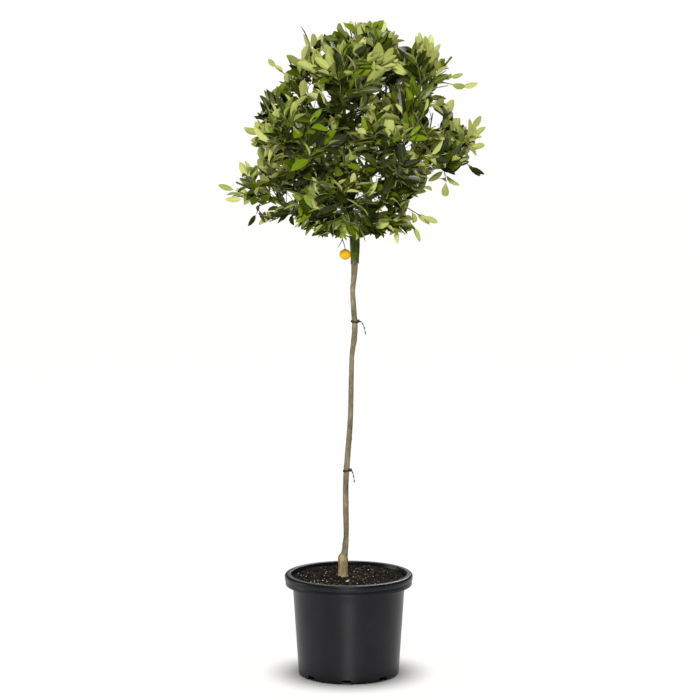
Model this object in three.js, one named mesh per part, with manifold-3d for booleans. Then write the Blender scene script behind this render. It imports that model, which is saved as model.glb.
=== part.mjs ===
// A small-fruited orange tree trained as a standard, in a black moulded nursery pot.
// Units are millimetres, +Z is up and the viewer stands on the -Y side.
// The origin is the middle of the pot's flat underside.
import * as THREE from 'three';
import { mergeVertices } from 'three/addons/utils/BufferGeometryUtils.js';
import Module from 'manifold-3d';

const wasm = await Module();
wasm.setup();

// Driving dimensions
const clearance = 0.3; // between pieces that touch
const goldenAngle = THREE.MathUtils.degToRad(137.5);

const pot = {
  height: 316,
  wall: 3,
  footRadius: 150,
  bottomRadius: 157.5,
  cornerHeight: 8,
  shoulderRadius: 176,
  shoulderHeight: 300,
  rimRadius: 200,
  skirtHeight: 282,
  sides: 32,
};

const drainSlot = { count: 8, width: 30, height: 13, depth: 26, turn: -2.5 };

const soil = { edgeHeight: 299, groundHeight: 302, moundRadius: 75, lump: 2.2, seed: 11 };

// The old graft low on the trunk, a thick foot with a rounded shoulder on its left.
const foot = { right: -17.5, back: 10, flare: 18, radius: 15.3, shoulder: 358, top: 378 };

// Waypoints of the bare trunk: height, distance right of the pot's centre, radius.
const trunkPath = [
  [330, -15, 11],
  [372, -13.5, 10.5],
  [430, -8, 8.2],
  [515, -9, 9],
  [600, -9, 8.8],
  [690, -3, 9],
  [810, 5.5, 8.2],
  [985, 9.5, 7.3],
  [1045, 16, 8.8],
  [1090, 19, 8.6],
  [1140, 15.5, 8.6],
  [1200, 12.5, 7.3],
  [1245, 16.5, 8.8],
  [1306, 19, 11],
];

// Waypoints of the green stem above the top graft, which runs on as the crown's leader.
const leaderPath = [
  [1262, 18, 12],
  [1300, 19, 13],
  [1340, 19, 15],
  [1380, 17, 16],
  [1440, 5, 12.5],
  [1540, -16, 10],
  [1640, -20, 8.3],
  [1720, 0, 6.8],
  [1800, 28, 5],
];

const trunkBack = 10; // how far behind the pot's centre the trunk stands
const sway = { size: 6, wave: 190 }; // the trunk's bow towards and away from the viewer

const graft = { height: 1300, slope: 2.2, right: 19 };

const tie = { band: 1.6, proud: 2, lock: 6, bead: 1.7, cord: 0.9, knots: 13 };
const ties = [
  { name: 'tie_upper', height: 1113, tail: [21, -6, -43] },
  { name: 'tie_lower', height: 643, tail: [11, -8, -40] },
];

const bough = { baseRadius: 8.8, tipRadius: 5.2, sides: 5, rise: 0.45, shortest: 0.4 };
const stem = { tipRadius: 4, overshoot: 0.4, margin: 30 };
const twig = { baseRadius: 2.4, tipRadius: 2, count: 8, shortest: 40, lift: 0.25, first: 0.12, last: 0.92, widest: 82, closest: 32, margin: 44 };
const leaf = { length: 104, width: 55, thickness: 2, fold: 6, droop: 7, root: 0.3, spacing: 26, attempts: 12 };

// The crown's masses: where each sits, how far it reaches along X, Y and Z, the height at
// which its bough leaves the leader, and the tips of the shoots that stand out of it.
const masses = [
  { name: 'top', at: [32, 0, 1912], reach: [168, 155, 126], shoots: [[105, 0, 2030]] },
  {
    name: 'upper_right', at: [228, -60, 1836], reach: [155, 155, 140], fork: 1590,
    shoots: [[396, -60, 1862], [380, -20, 1815], [245, -50, 1978]],
  },
  {
    name: 'upper_left', at: [-138, 40, 1828], reach: [140, 155, 140], fork: 1615,
    shoots: [[-134, -20, 2002], [-252, 0, 1902]],
  },
  { name: 'upper_front', at: [-10, -180, 1822], reach: [165, 150, 142], fork: 1640, shoots: [] },
  { name: 'upper_back', at: [75, 195, 1825], reach: [165, 150, 142], fork: 1665, shoots: [] },
  {
    name: 'middle_right', at: [282, 30, 1640], reach: [135, 165, 142], fork: 1462,
    shoots: [[414, 0, 1640], [408, -20, 1545]],
  },
  { name: 'middle_left', at: [-212, 70, 1682], reach: [118, 160, 138], fork: 1478, shoots: [] },
  { name: 'middle_front_right', at: [145, -195, 1652], reach: [165, 150, 142], fork: 1496, shoots: [] },
  { name: 'middle_front_left', at: [-125, -185, 1650], reach: [165, 150, 142], fork: 1514, shoots: [] },
  { name: 'middle_back', at: [35, 240, 1652], reach: [185, 140, 145], fork: 1532, shoots: [] },
  {
    name: 'lower_right', at: [155, -30, 1476], reach: [140, 160, 125], fork: 1388,
    shoots: [[272, -40, 1368], [120, -60, 1352]],
  },
  {
    name: 'lower_left', at: [-245, 0, 1498], reach: [155, 160, 125], fork: 1402,
    shoots: [[-404, -30, 1520], [-330, -40, 1400]],
  },
  { name: 'lower_front', at: [-15, -165, 1464], reach: [165, 150, 128], fork: 1416, shoots: [] },
  { name: 'lower_back', at: [0, 195, 1482], reach: [175, 150, 128], fork: 1430, shoots: [] },
];

const fruit = {
  radius: 17.5,
  at: [-11, -12, 1314],
  stalk: [[12, 4, 1360], [-10, -7, 1372], [-19, -12, 1362], [-14, -12, 1345], [-11, -12, 1330]],
  stalkRadius: 2,
  spur: [-36, -16, 1336],
  spurRadius: 1.1,
};

// Seeded numbers from 0 to 1
function seededRandom(seed) {
  let state = seed >>> 0;
  return () => {
    state = (state + 0x6d2b79f5) >>> 0;
    let t = Math.imul(state ^ (state >>> 15), 1 | state);
    t = (t + Math.imul(t ^ (t >>> 7), 61 | t)) ^ t;
    return ((t ^ (t >>> 14)) >>> 0) / 4294967296;
  };
}

// Solids and meshes
function solidOf(geometry) {
  const bare = new THREE.BufferGeometry();
  bare.setAttribute('position', geometry.getAttribute('position').clone());
  bare.setIndex(geometry.index);
  const merged = mergeVertices(bare, 1e-3);
  return new wasm.Manifold(new wasm.Mesh({
    numProp: 3,
    vertProperties: merged.attributes.position.array,
    triVerts: new Uint32Array(merged.index.array),
  }));
}

function geometryOf(solid) {
  const mesh = solid.getMesh();
  const geometry = new THREE.BufferGeometry();
  geometry.setAttribute('position', new THREE.BufferAttribute(mesh.vertProperties, 3));
  geometry.setIndex(new THREE.BufferAttribute(mesh.triVerts, 1));
  geometry.computeVertexNormals();
  return geometry;
}

// The largest body of a solid, without its loose scraps and sealed hollows.
function mainBody(solid) {
  return solid.decompose().reduce((a, b) => (b.volume() > a.volume() ? b : a));
}

// Whether two sheets of a surface touch along an edge.
function pinched(geometry) {
  const bare = new THREE.BufferGeometry();
  bare.setAttribute('position', geometry.getAttribute('position'));
  bare.setIndex(geometry.index);
  const corners = mergeVertices(bare, 1e-3).index.array;
  const faces = new Map();
  for (let i = 0; i < corners.length; i += 3) {
    for (let k = 0; k < 3; k += 1) {
      const edge = [corners[i + k], corners[i + ((k + 1) % 3)]].sort((a, b) => a - b).join();
      faces.set(edge, (faces.get(edge) ?? 0) + 1);
    }
  }
  return [...faces.values()].some((count) => count !== 2);
}

// The same body with its finest slivers closed up and its corners on a grid of a
// thousandth of a millimetre.
function finished(solid) {
  let body = solid;
  for (let slack = 0.05; slack < 0.3; slack += 0.04) {
    const geometry = geometryOf(mainBody(solid.simplify(slack)));
    const spots = geometry.getAttribute('position').array;
    spots.forEach((value, i) => { spots[i] = Math.round(value * 1000) / 1000; });
    body = mainBody(solidOf(geometryOf(mainBody(solidOf(geometry)))));
    if (!pinched(geometryOf(body)) && !pinched(geometryOf(solidOf(geometryOf(body))))) break;
  }
  return body;
}

// A closed tube through points, with one radius each. Level rings lie flat, for upright
// stems, and the others stand square to the path.
function tubeGeometry(points, radii, sides, level = false) {
  const last = points.length - 1;
  const positions = [];
  const faces = [];
  let normal = new THREE.Vector3(1, 0, 0);
  points.forEach((point, i) => {
    const ahead = points[Math.min(i + 1, last)].clone().sub(points[Math.max(i - 1, 0)]).normalize();
    if (level) {
      ahead.set(0, 0, 1);
    } else if (i === 0) {
      normal = Math.abs(ahead.x) < 0.8 ? new THREE.Vector3(1, 0, 0) : new THREE.Vector3(0, 1, 0);
    }
    normal.addScaledVector(ahead, -normal.dot(ahead)).normalize();
    const across = new THREE.Vector3().crossVectors(ahead, normal);
    for (let k = 0; k < sides; k += 1) {
      const angle = (2 * Math.PI * k) / sides;
      const spot = point.clone()
        .addScaledVector(normal, radii[i] * Math.cos(angle))
        .addScaledVector(across, radii[i] * Math.sin(angle));
      positions.push(spot.x, spot.y, spot.z);
    }
  });
  for (let i = 0; i < last; i += 1) {
    for (let k = 0; k < sides; k += 1) {
      const a = i * sides + k;
      const b = i * sides + ((k + 1) % sides);
      faces.push(a, b, b + sides, a, b + sides, a + sides);
    }
  }
  for (let k = 1; k < sides - 1; k += 1) {
    const end = last * sides;
    faces.push(0, k + 1, k, end, end + k, end + k + 1);
  }
  const geometry = new THREE.BufferGeometry();
  geometry.setAttribute('position', new THREE.Float32BufferAttribute(positions, 3));
  geometry.setIndex(faces);
  return geometry;
}

// Pot and potting mix
function arc(radius, height, size, from, to, steps) {
  return Array.from({ length: steps + 1 }, (_, i) => {
    const angle = THREE.MathUtils.degToRad(from + ((to - from) * i) / steps);
    return [radius + size * Math.cos(angle), height + size * Math.sin(angle)];
  });
}

function turned(profile) {
  const geometry = new THREE.LatheGeometry(profile.map(([r, z]) => new THREE.Vector2(r, z)), pot.sides);
  return geometry.rotateX(Math.PI / 2);
}

// The inner face of the pot's wall at a height.
function innerRadius(height) {
  const share = (height - pot.cornerHeight) / (pot.shoulderHeight - pot.cornerHeight);
  return pot.bottomRadius + (pot.shoulderRadius - pot.bottomRadius) * share - pot.wall;
}

function potSolid() {
  const { wall, rimRadius, height } = pot;
  const skirtRound = 7;
  const crestRound = 4;
  const profile = [
    [0, 0],
    [pot.footRadius, 0],
    [pot.bottomRadius, pot.cornerHeight],
    [pot.shoulderRadius, pot.shoulderHeight],
    [rimRadius - wall, pot.shoulderHeight + 3],
    [rimRadius - wall, pot.skirtHeight],
    [rimRadius - 0.5, pot.skirtHeight],
    ...arc(rimRadius - skirtRound, height - skirtRound, skirtRound, 0, 80, 2),
    ...arc(pot.shoulderRadius + wall + crestRound, height - crestRound, crestRound, 95, 180, 2),
    [innerRadius(pot.shoulderHeight - 12), pot.shoulderHeight - 12],
    [innerRadius(pot.cornerHeight), pot.cornerHeight],
    [pot.footRadius, wall],
    [0, wall],
  ];
  let solid = solidOf(turned(profile));
  for (let i = 0; i < drainSlot.count; i += 1) {
    const box = new THREE.BoxGeometry(drainSlot.width, drainSlot.depth, drainSlot.height * 2);
    box.translate(0, -pot.bottomRadius, 0);
    box.rotateZ(THREE.MathUtils.degToRad(drainSlot.turn) + (2 * Math.PI * i) / drainSlot.count);
    solid = solid.subtract(solidOf(box));
  }
  return mainBody(solid);
}

// The mix stands up a little round the trunk and lies in low lumps elsewhere.
function soilSolid() {
  const random = seededRandom(soil.seed);
  const edge = innerRadius(soil.edgeHeight) - clearance;
  const rings = [0.2, 0.5, 0.78].map((share) => share * edge);
  const profile = [
    [0, pot.wall + clearance],
    [pot.footRadius - clearance, pot.wall + clearance],
    [innerRadius(pot.cornerHeight) - clearance, pot.cornerHeight],
    [edge, soil.edgeHeight],
    ...rings.reverse().map((radius) => [radius, soil.edgeHeight]),
    [0, soil.edgeHeight],
  ];
  const geometry = turned(profile);
  const bare = new THREE.BufferGeometry();
  bare.setAttribute('position', geometry.getAttribute('position'));
  bare.setIndex(geometry.index);
  const merged = mergeVertices(bare, 1e-3);
  const spots = merged.attributes.position;
  for (let i = 0; i < spots.count; i += 1) {
    const radius = Math.hypot(spots.getX(i), spots.getY(i));
    if (spots.getZ(i) > soil.edgeHeight - 1 && radius < edge - 1) {
      const away = Math.hypot(spots.getX(i) - foot.right, spots.getY(i) - foot.back);
      const mound = (soil.groundHeight - soil.edgeHeight + 1.5) * Math.max(0, 1 - away / soil.moundRadius);
      spots.setZ(i, soil.edgeHeight + mound + soil.lump * (random() - 0.5));
    }
  }
  const seat = new THREE.CylinderGeometry(foot.flare + 0.6, foot.flare + 0.6, 60, 12);
  seat.rotateX(Math.PI / 2).translate(foot.right, foot.back, soil.groundHeight - clearance + 30);
  const ground = new THREE.CylinderGeometry(foot.flare + 6, foot.flare + 14, 8, 12);
  ground.rotateX(Math.PI / 2).translate(foot.right, foot.back, soil.groundHeight - 4);
  return mainBody(solidOf(merged).add(solidOf(ground)).subtract(solidOf(seat)));
}

// Trunk
function waypoint([height, right, radius]) {
  const bow = sway.size * Math.sin((height - soil.groundHeight) / sway.wave);
  const back = (trunkBack + bow) * THREE.MathUtils.clamp((2200 - height) / 1800, 0, 1);
  return { spot: new THREE.Vector3(right, back, height), radius };
}

// A stem through waypoints, sampled by height.
function stemLine(path, steps) {
  const ways = path.map(waypoint);
  const curve = new THREE.CatmullRomCurve3(ways.map((w) => w.spot), false, 'catmullrom', 0.5);
  const points = [];
  const radii = [];
  for (let i = 0; i <= steps; i += 1) {
    const t = i / steps;
    const place = t * (ways.length - 1);
    const before = Math.min(Math.floor(place), ways.length - 2);
    points.push(curve.getPoint(t));
    radii.push(THREE.MathUtils.lerp(ways[before].radius, ways[before + 1].radius, place - before));
  }
  return { points, radii };
}

// A stem's solid, or with some growth the space that others keep out of.
function tube(line, sides, grow = 0, level = false) {
  const points = line.points.map((point) => point.clone());
  if (grow > 0) {
    const last = points.length - 1;
    const stretch = (end, next) => end.addScaledVector(end.clone().sub(next).normalize(), grow);
    stretch(points[0], line.points[1]);
    stretch(points[last], line.points[last - 1]);
  }
  return solidOf(tubeGeometry(points, line.radii.map((radius) => radius + grow), sides, level));
}

// The wedge that the trunk's top is cut to, seen from the front.
function graftWedge(lift) {
  const halfWidth = 60;
  const fall = halfWidth * graft.slope;
  const top = graft.height + lift;
  const outline = new THREE.Shape([
    new THREE.Vector2(graft.right, top),
    new THREE.Vector2(graft.right - halfWidth, top - fall),
    new THREE.Vector2(graft.right - halfWidth, 250),
    new THREE.Vector2(graft.right + halfWidth, 250),
    new THREE.Vector2(graft.right + halfWidth, top - fall),
  ]);
  const wedge = new THREE.ExtrudeGeometry(outline, { depth: 120, bevelEnabled: false });
  return solidOf(wedge.rotateX(Math.PI / 2).translate(0, 60, 0));
}

function trunkSolid(line, grow = 0) {
  const heights = [soil.groundHeight, soil.groundHeight + 9, 330, foot.shoulder, 370, foot.top];
  const radii = [foot.flare, 16, foot.radius, foot.radius + 0.3, 12.5, 6];
  const points = heights.map((height) => new THREE.Vector3(foot.right - Math.max(0, height - foot.shoulder) * 0.08, foot.back, height));
  const stump = solidOf(tubeGeometry(points, radii.map((radius) => radius + grow), 12, true));
  return mainBody(tube(line, 8, grow, true).intersect(graftWedge(0)).add(stump));
}

function leaderSolid(line, grow = 0) {
  const lift = clearance * Math.hypot(1, graft.slope);
  return mainBody(tube(line, 8, grow, true).subtract(graftWedge(lift - grow)));
}

// Ties round the trunk, with a lock and a beaded tail
function tieSolid({ height, tail }, line, trunkKeepOut) {
  const at = line.points.reduce((a, b) => (Math.abs(b.z - height) < Math.abs(a.z - height) ? b : a));
  const radius = line.radii[line.points.indexOf(at)] + tie.proud;
  const ring = new THREE.TorusGeometry(radius, tie.band, 4, 16).scale(1, 1, 1.4);
  ring.rotateY(0.12).translate(at.x, at.y, height);
  const lock = new THREE.BoxGeometry(tie.lock, tie.lock, tie.lock * 1.3);
  lock.translate(at.x + radius + 2, at.y - 3, height + 2);
  const start = new THREE.Vector3(at.x + radius + 3, at.y - 4, height + 3);
  const end = start.clone().add(new THREE.Vector3(...tail));
  const bend = new THREE.Vector3(end.x - 3, (start.y + end.y) / 2, start.z - 4);
  const curve = new THREE.QuadraticBezierCurve3(start, bend, end);
  const points = curve.getSpacedPoints(tie.knots - 1);
  const radii = points.map((_, i) => (i % 2 ? tie.bead : tie.cord));
  const tailSolid = solidOf(tubeGeometry(points, radii, 4));
  return mainBody(solidOf(ring).add(solidOf(lock)).add(tailSolid).subtract(trunkKeepOut));
}

// Crown: each mass keeps to its own space, an ellipsoid cut off by flat faces where the
// next mass begins.
masses.forEach((mass, i) => {
  mass.centre = new THREE.Vector3(...mass.at);
  mass.size = (mass.reach[0] + mass.reach[1] + mass.reach[2]) / 3;
  mass.seed = 102 + 37 * i;
});

const fruitSpace = { centre: new THREE.Vector3(-12, -12, 1335), size: 42 };
const spaces = [...masses, fruitSpace];

function fromFaces(point, mass) {
  let least = Infinity;
  for (const other of spaces) {
    if (other !== mass) {
      const here = point.distanceToSquared(mass.centre) - mass.size ** 2;
      const there = point.distanceToSquared(other.centre) - other.size ** 2;
      least = Math.min(least, (there - here) / (2 * mass.centre.distanceTo(other.centre)));
    }
  }
  return least;
}

function inSpace(point, mass, margin, grown = 1) {
  const [x, y, z] = mass.reach.map((reach) => (reach - margin) * grown);
  const off = point.clone().sub(mass.centre);
  const inside = (off.x / x) ** 2 + (off.y / y) ** 2 + (off.z / z) ** 2 < 1;
  return inside && fromFaces(point, mass) > margin;
}

// The path of a bough and of the stem that carries on from it through its mass.
function boughCurve(mass, leaderLine) {
  const start = leaderLine.points.reduce(
    (a, b) => (Math.abs(b.z - mass.fork) < Math.abs(a.z - mass.fork) ? b : a));
  const way = mass.centre.clone().sub(start);
  const lift = Math.max(way.z, 0) * bough.rise;
  const knee = start.clone().addScaledVector(way, 0.45).add(new THREE.Vector3(0, 0, -lift * 0.5));
  const end = mass.centre.clone().addScaledVector(way, stem.overshoot);
  return new THREE.QuadraticBezierCurve3(start.clone(), knee, end);
}

function curveLine(curve, from, to, firstRadius, lastRadius, steps) {
  const points = [];
  const radii = [];
  for (let i = 0; i <= steps; i += 1) {
    points.push(curve.getPoint(THREE.MathUtils.lerp(from, to, i / steps)));
    radii.push(THREE.MathUtils.lerp(firstRadius, lastRadius, i / steps));
  }
  return { points, radii };
}

// The shares of the path at which it enters its mass's space and nears the far side.
function crossing(curve, mass) {
  let from = 1 / (1 + stem.overshoot);
  let to = from;
  while (from > bough.shortest && inSpace(curve.getPoint(from - 0.02), mass, 8)) from -= 0.02;
  while (to < 0.99 && inSpace(curve.getPoint(to + 0.01), mass, stem.margin)) to += 0.01;
  return [from, to];
}

// How far a point is from the nearest limb's surface.
function fromLimbs(point, limbs) {
  let least = Infinity;
  const segment = new THREE.Line3();
  const nearest = new THREE.Vector3();
  for (const { points, radii } of limbs) {
    for (let i = 0; i + 1 < points.length; i += 1) {
      segment.set(points[i], points[i + 1]).closestPointToPoint(point, true, nearest);
      least = Math.min(least, nearest.distanceTo(point) - Math.max(radii[i], radii[i + 1]));
    }
  }
  return least;
}

function square(direction) {
  const helper = Math.abs(direction.z) < 0.9 ? new THREE.Vector3(0, 0, 1) : new THREE.Vector3(1, 0, 0);
  return new THREE.Vector3().crossVectors(direction, helper).normalize();
}

// Twigs leave the stem in a spiral, wide apart at its foot and closer to its line at its
// tip, turn towards the light and run until their space ends.
function growTwigs(mass, limbs) {
  const random = seededRandom(mass.seed);
  const twigs = [];
  for (let i = 0; i < twig.count; i += 1) {
    const share = i / (twig.count - 1);
    const t = THREE.MathUtils.lerp(mass.from, mass.to, THREE.MathUtils.lerp(twig.first, twig.last, share));
    const start = mass.curve.getPoint(t);
    const along = mass.curve.getTangent(t);
    const opening = THREE.MathUtils.degToRad(THREE.MathUtils.lerp(twig.widest, twig.closest, share));
    const side = square(along).applyAxisAngle(along, goldenAngle * i + random() * 0.7);
    const direction = along.clone().multiplyScalar(Math.cos(opening)).addScaledVector(side, Math.sin(opening));
    direction.z += twig.lift * Math.sin(opening);
    direction.normalize();
    let length = twig.shortest;
    const probe = start.clone().addScaledVector(direction, length);
    while (inSpace(probe, mass, twig.margin)) {
      length += 4;
      probe.addScaledVector(direction, 4);
    }
    length *= 0.9 + 0.12 * random();
    twigs.push({ start, end: start.clone().addScaledVector(direction, length), free: false });
  }
  for (const shoot of mass.shoots) {
    const tip = new THREE.Vector3(...shoot);
    const start = mass.curve.getPoint(THREE.MathUtils.lerp(mass.from, mass.to, 0.66));
    twigs.push({ start, end: tip.clone().lerp(start, (leaf.length * 0.75) / tip.distanceTo(start)), free: true });
  }
  return twigs.filter(({ start, end }) => {
    const clear = [0.5, 1].every((share) => {
      const point = start.clone().lerp(end, share);
      return fromFaces(point, mass) > 3 && fromLimbs(point, limbs) > 4;
    });
    return clear && start.distanceTo(end) > twig.shortest * 0.8;
  });
}

// A leaf in its own frame, folded along its midrib: its root a little behind the origin,
// its tip along +X and its upper face towards +Z.
function leafPoints(size) {
  const { length, width, thickness, fold, droop, root } = leaf;
  return [
    [-root / size, 0, 0],
    [0.46 * length, -width / 2, fold],
    [length, 0, -droop],
    [0.46 * length, width / 2, fold],
    [0.46 * length, 0, thickness - 0.46 * droop],
  ].map((p) => new THREE.Vector3(...p).multiplyScalar(size));
}

const leafFaces = [0, 1, 4, 1, 2, 4, 2, 3, 4, 3, 0, 4, 0, 2, 1, 0, 3, 2];

function leafGeometry(points) {
  const geometry = new THREE.BufferGeometry();
  geometry.setAttribute('position', new THREE.Float32BufferAttribute(points.flatMap((p) => p.toArray()), 3));
  geometry.setIndex(leafFaces);
  return geometry;
}

function meets(solid, others) {
  const box = solid.boundingBox();
  return others.some((other) => {
    const apart = [0, 1, 2].some((k) => other.box.min[k] > box.max[k] || other.box.max[k] < box.min[k]);
    return !apart && !solid.intersect(other.solid).isEmpty();
  });
}

// Leaves stand round the outer part of a twig in a spiral, the last ones close to its line.
// Each turns aside, or stays small, where it would cross another.
function growLeaves(mass, bearer, limbs, grown) {
  const random = seededRandom(mass.seed + bearer.order * 7 + 3);
  const { start, end, free } = bearer;
  const along = end.clone().sub(start);
  const count = Math.max(3, Math.round((along.length() * 0.72) / leaf.spacing) + 2);
  along.normalize();
  const made = [];
  for (let i = 0; i < count; i += 1) {
    const share = i / (count - 1);
    const base = start.clone().lerp(end, 0.27 + 0.71 * share);
    const turn = goldenAngle * i + random() * 0.8;
    const natural = THREE.MathUtils.degToRad(i === count - 1 ? 8 : THREE.MathUtils.lerp(68, 42, share));
    const wanted = 0.88 + 0.26 * random();
    for (let attempt = 0; attempt < leaf.attempts; attempt += 1) {
      const aside = attempt * 0.9 * (attempt % 2 ? 1 : -1);
      const size = 1 - (0.35 * attempt) / leaf.attempts;
      const opening = natural * (attempt % 3 === 2 ? 0.7 : 1) + (i === count - 1 ? 0.08 * attempt : 0);
      const side = square(along).applyAxisAngle(along, turn + aside);
      const axis = along.clone().multiplyScalar(Math.cos(opening)).addScaledVector(side, Math.sin(opening));
      const up = along.clone().addScaledVector(axis, -along.dot(axis));
      if (up.length() < 0.3) up.set(0, 0, 1).addScaledVector(axis, -axis.z);
      up.normalize();
      const frame = new THREE.Matrix4().makeBasis(axis, new THREE.Vector3().crossVectors(up, axis), up);
      frame.setPosition(base);
      const points = leafPoints(wanted * size).map((p) => p.applyMatrix4(frame));
      const checks = [...points.slice(1, 5), points[2].clone().lerp(points[4], 0.5)];
      const fits = checks.every((p) => fromFaces(p, mass) > 1.5 && (free || inSpace(p, mass, 0, 1.05))
        && fromLimbs(p, limbs) > 3);
      const solid = fits ? solidOf(leafGeometry(points)) : null;
      if (fits && !meets(solid, grown.filter((other) => other.order !== bearer.order)) && !meets(solid, made)) {
        made.push({ solid, box: solid.boundingBox(), order: -1 });
        break;
      }
    }
  }
  return made;
}

function massSolid(mass, limbs) {
  const { points } = mass.stemLine;
  const bearers = [
    { start: points[points.length - 2], end: points[points.length - 1], free: false },
    ...growTwigs(mass, limbs),
  ];
  bearers.forEach((bearer, order) => { bearer.order = order; });
  const grown = bearers.map(({ start, end, order }) => ({
    solid: order ? solidOf(tubeGeometry([start, end], [twig.baseRadius, twig.tipRadius], 3)) : tube(mass.stemLine, 4),
    order,
  }));
  for (const one of grown) one.box = one.solid.boundingBox();
  for (const bearer of bearers) grown.push(...growLeaves(mass, bearer, limbs, grown));
  mass.leafCount = grown.length - bearers.length;
  let solid = wasm.Manifold.union(grown.map((one) => one.solid));
  for (const limb of limbs) solid = solid.subtract(limb.keepOut);
  return mainBody(solid);
}

// The one ripe fruit, on a hanging twig with a dry spur and two leaves
function fruitingTwig(keepOut) {
  const at = new THREE.Vector3(...fruit.at);
  const ball = new THREE.IcosahedronGeometry(fruit.radius, 2).scale(1, 1, 0.94).translate(at.x, at.y, at.z);
  const points = fruit.stalk.map((p) => new THREE.Vector3(...p));
  const stalk = solidOf(tubeGeometry(points, points.map((_, i) => fruit.stalkRadius * (1 - 0.12 * i)), 5));
  const spurEnd = new THREE.Vector3(...fruit.spur);
  const spurMiddle = points[2].clone().lerp(spurEnd, 0.6).add(new THREE.Vector3(0, 0, -6));
  const spur = solidOf(tubeGeometry([points[2], spurMiddle, spurEnd], [1.3, fruit.spurRadius, 0.8], 3));
  const leaves = [[-0.75, -0.6, 0.1], [-0.5, 0.8, 0.15]].map((way) => {
    const axis = new THREE.Vector3(...way).normalize();
    const up = new THREE.Vector3(0, 0, 1).addScaledVector(axis, -axis.z).normalize();
    const frame = new THREE.Matrix4().makeBasis(axis, new THREE.Vector3().crossVectors(up, axis), up);
    frame.setPosition(points[1]);
    return solidOf(leafGeometry(leafPoints(0.42).map((p) => p.applyMatrix4(frame))));
  });
  return mainBody(wasm.Manifold.union([solidOf(ball), stalk, spur, ...leaves]).subtract(keepOut));
}

// The whole plant
const finishes = {
  pot: new THREE.MeshStandardMaterial({ color: 0x2c2d30, roughness: 0.55, metalness: 0 }),
  soil: new THREE.MeshStandardMaterial({ color: 0x2a2119, roughness: 1, metalness: 0 }),
  trunk: new THREE.MeshStandardMaterial({ color: 0x8a8063, roughness: 0.85, metalness: 0 }),
  leader: new THREE.MeshStandardMaterial({ color: 0x3d4a26, roughness: 0.8, metalness: 0 }),
  tie: new THREE.MeshStandardMaterial({ color: 0x2a2622, roughness: 0.6, metalness: 0 }),
  leaves: new THREE.MeshStandardMaterial({ color: 0x5d7a24, roughness: 0.5, metalness: 0 }),
  fruit: new THREE.MeshStandardMaterial({ color: 0xf0a012, roughness: 0.45, metalness: 0 }),
};

const plant = new THREE.Group();

function add(name, solid, finish) {
  const mesh = new THREE.Mesh(geometryOf(solid), finishes[finish]);
  mesh.name = name;
  plant.add(mesh);
}

const trunkLine = stemLine(trunkPath, 26);
const leaderLine = stemLine(leaderPath, 14);
const leaderKeepOut = leaderSolid(leaderLine, clearance);

add('pot', finished(potSolid()), 'pot');
add('potting_mix', finished(soilSolid()), 'soil');
add('trunk', finished(trunkSolid(trunkLine)), 'trunk');
add('leader', finished(leaderSolid(leaderLine)), 'leader');
const trunkKeepOut = trunkSolid(trunkLine, clearance);
for (const one of ties) add(one.name, finished(tieSolid(one, trunkLine, trunkKeepOut)), 'tie');

const limbs = [{ ...leaderLine, keepOut: leaderKeepOut }];
const fruitPath = { points: fruit.stalk.map((p) => new THREE.Vector3(...p)), radii: fruit.stalk.map(() => 2.4) };
add('fruiting_twig', finished(fruitingTwig(leaderKeepOut)), 'fruit');
limbs.push({ ...fruitPath, keepOut: tube(fruitPath, 5, clearance) });

for (const mass of masses) {
  if (mass.fork) {
    mass.curve = boughCurve(mass, leaderLine);
    [mass.from, mass.to] = crossing(mass.curve, mass);
    const slim = THREE.MathUtils.lerp(1, 0.75, (mass.fork - 1378) / 280);
    const line = curveLine(mass.curve, 0, mass.from, bough.baseRadius * slim, bough.tipRadius, 3);
    let solid = tube(line, bough.sides);
    for (const limb of limbs) solid = solid.subtract(limb.keepOut);
    add(`bough_${mass.name}`, finished(solid), 'leader');
    limbs.push({ ...line, keepOut: tube(line, bough.sides, clearance) });
  } else {
    const top = leaderLine.points.at(-1);
    const way = mass.centre.clone().sub(top);
    const end = mass.centre.clone().addScaledVector(way, stem.overshoot * 2);
    mass.curve = new THREE.QuadraticBezierCurve3(top.clone(), top.clone().lerp(end, 0.5), end);
    mass.from = 0;
    mass.to = 1;
  }
  const start = (clearance + 0.05) / mass.curve.getLength();
  mass.stemLine = curveLine(mass.curve, mass.from + start, mass.to, bough.tipRadius, stem.tipRadius, 2);
}

// A mass whose leaves only touch along an edge grows again from the next seed.
for (const mass of masses) {
  let solid = finished(massSolid(mass, limbs));
  while (pinched(geometryOf(solid))) {
    mass.seed += 1;
    solid = finished(massSolid(mass, limbs));
  }
  add(`foliage_${mass.name}`, solid, 'leaves');
}

plant.userData.leaves = masses.map((mass) => mass.leafCount).join(' ');

export default plant;
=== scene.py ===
# A small-fruited orange tree trained as a standard, in a black moulded nursery pot.
# The shapes are worked out in millimetres and put in metres when a mesh is made.
import math

import bmesh
import bpy
import numpy as np
from mathutils import Matrix, Vector, kdtree, noise


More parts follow.
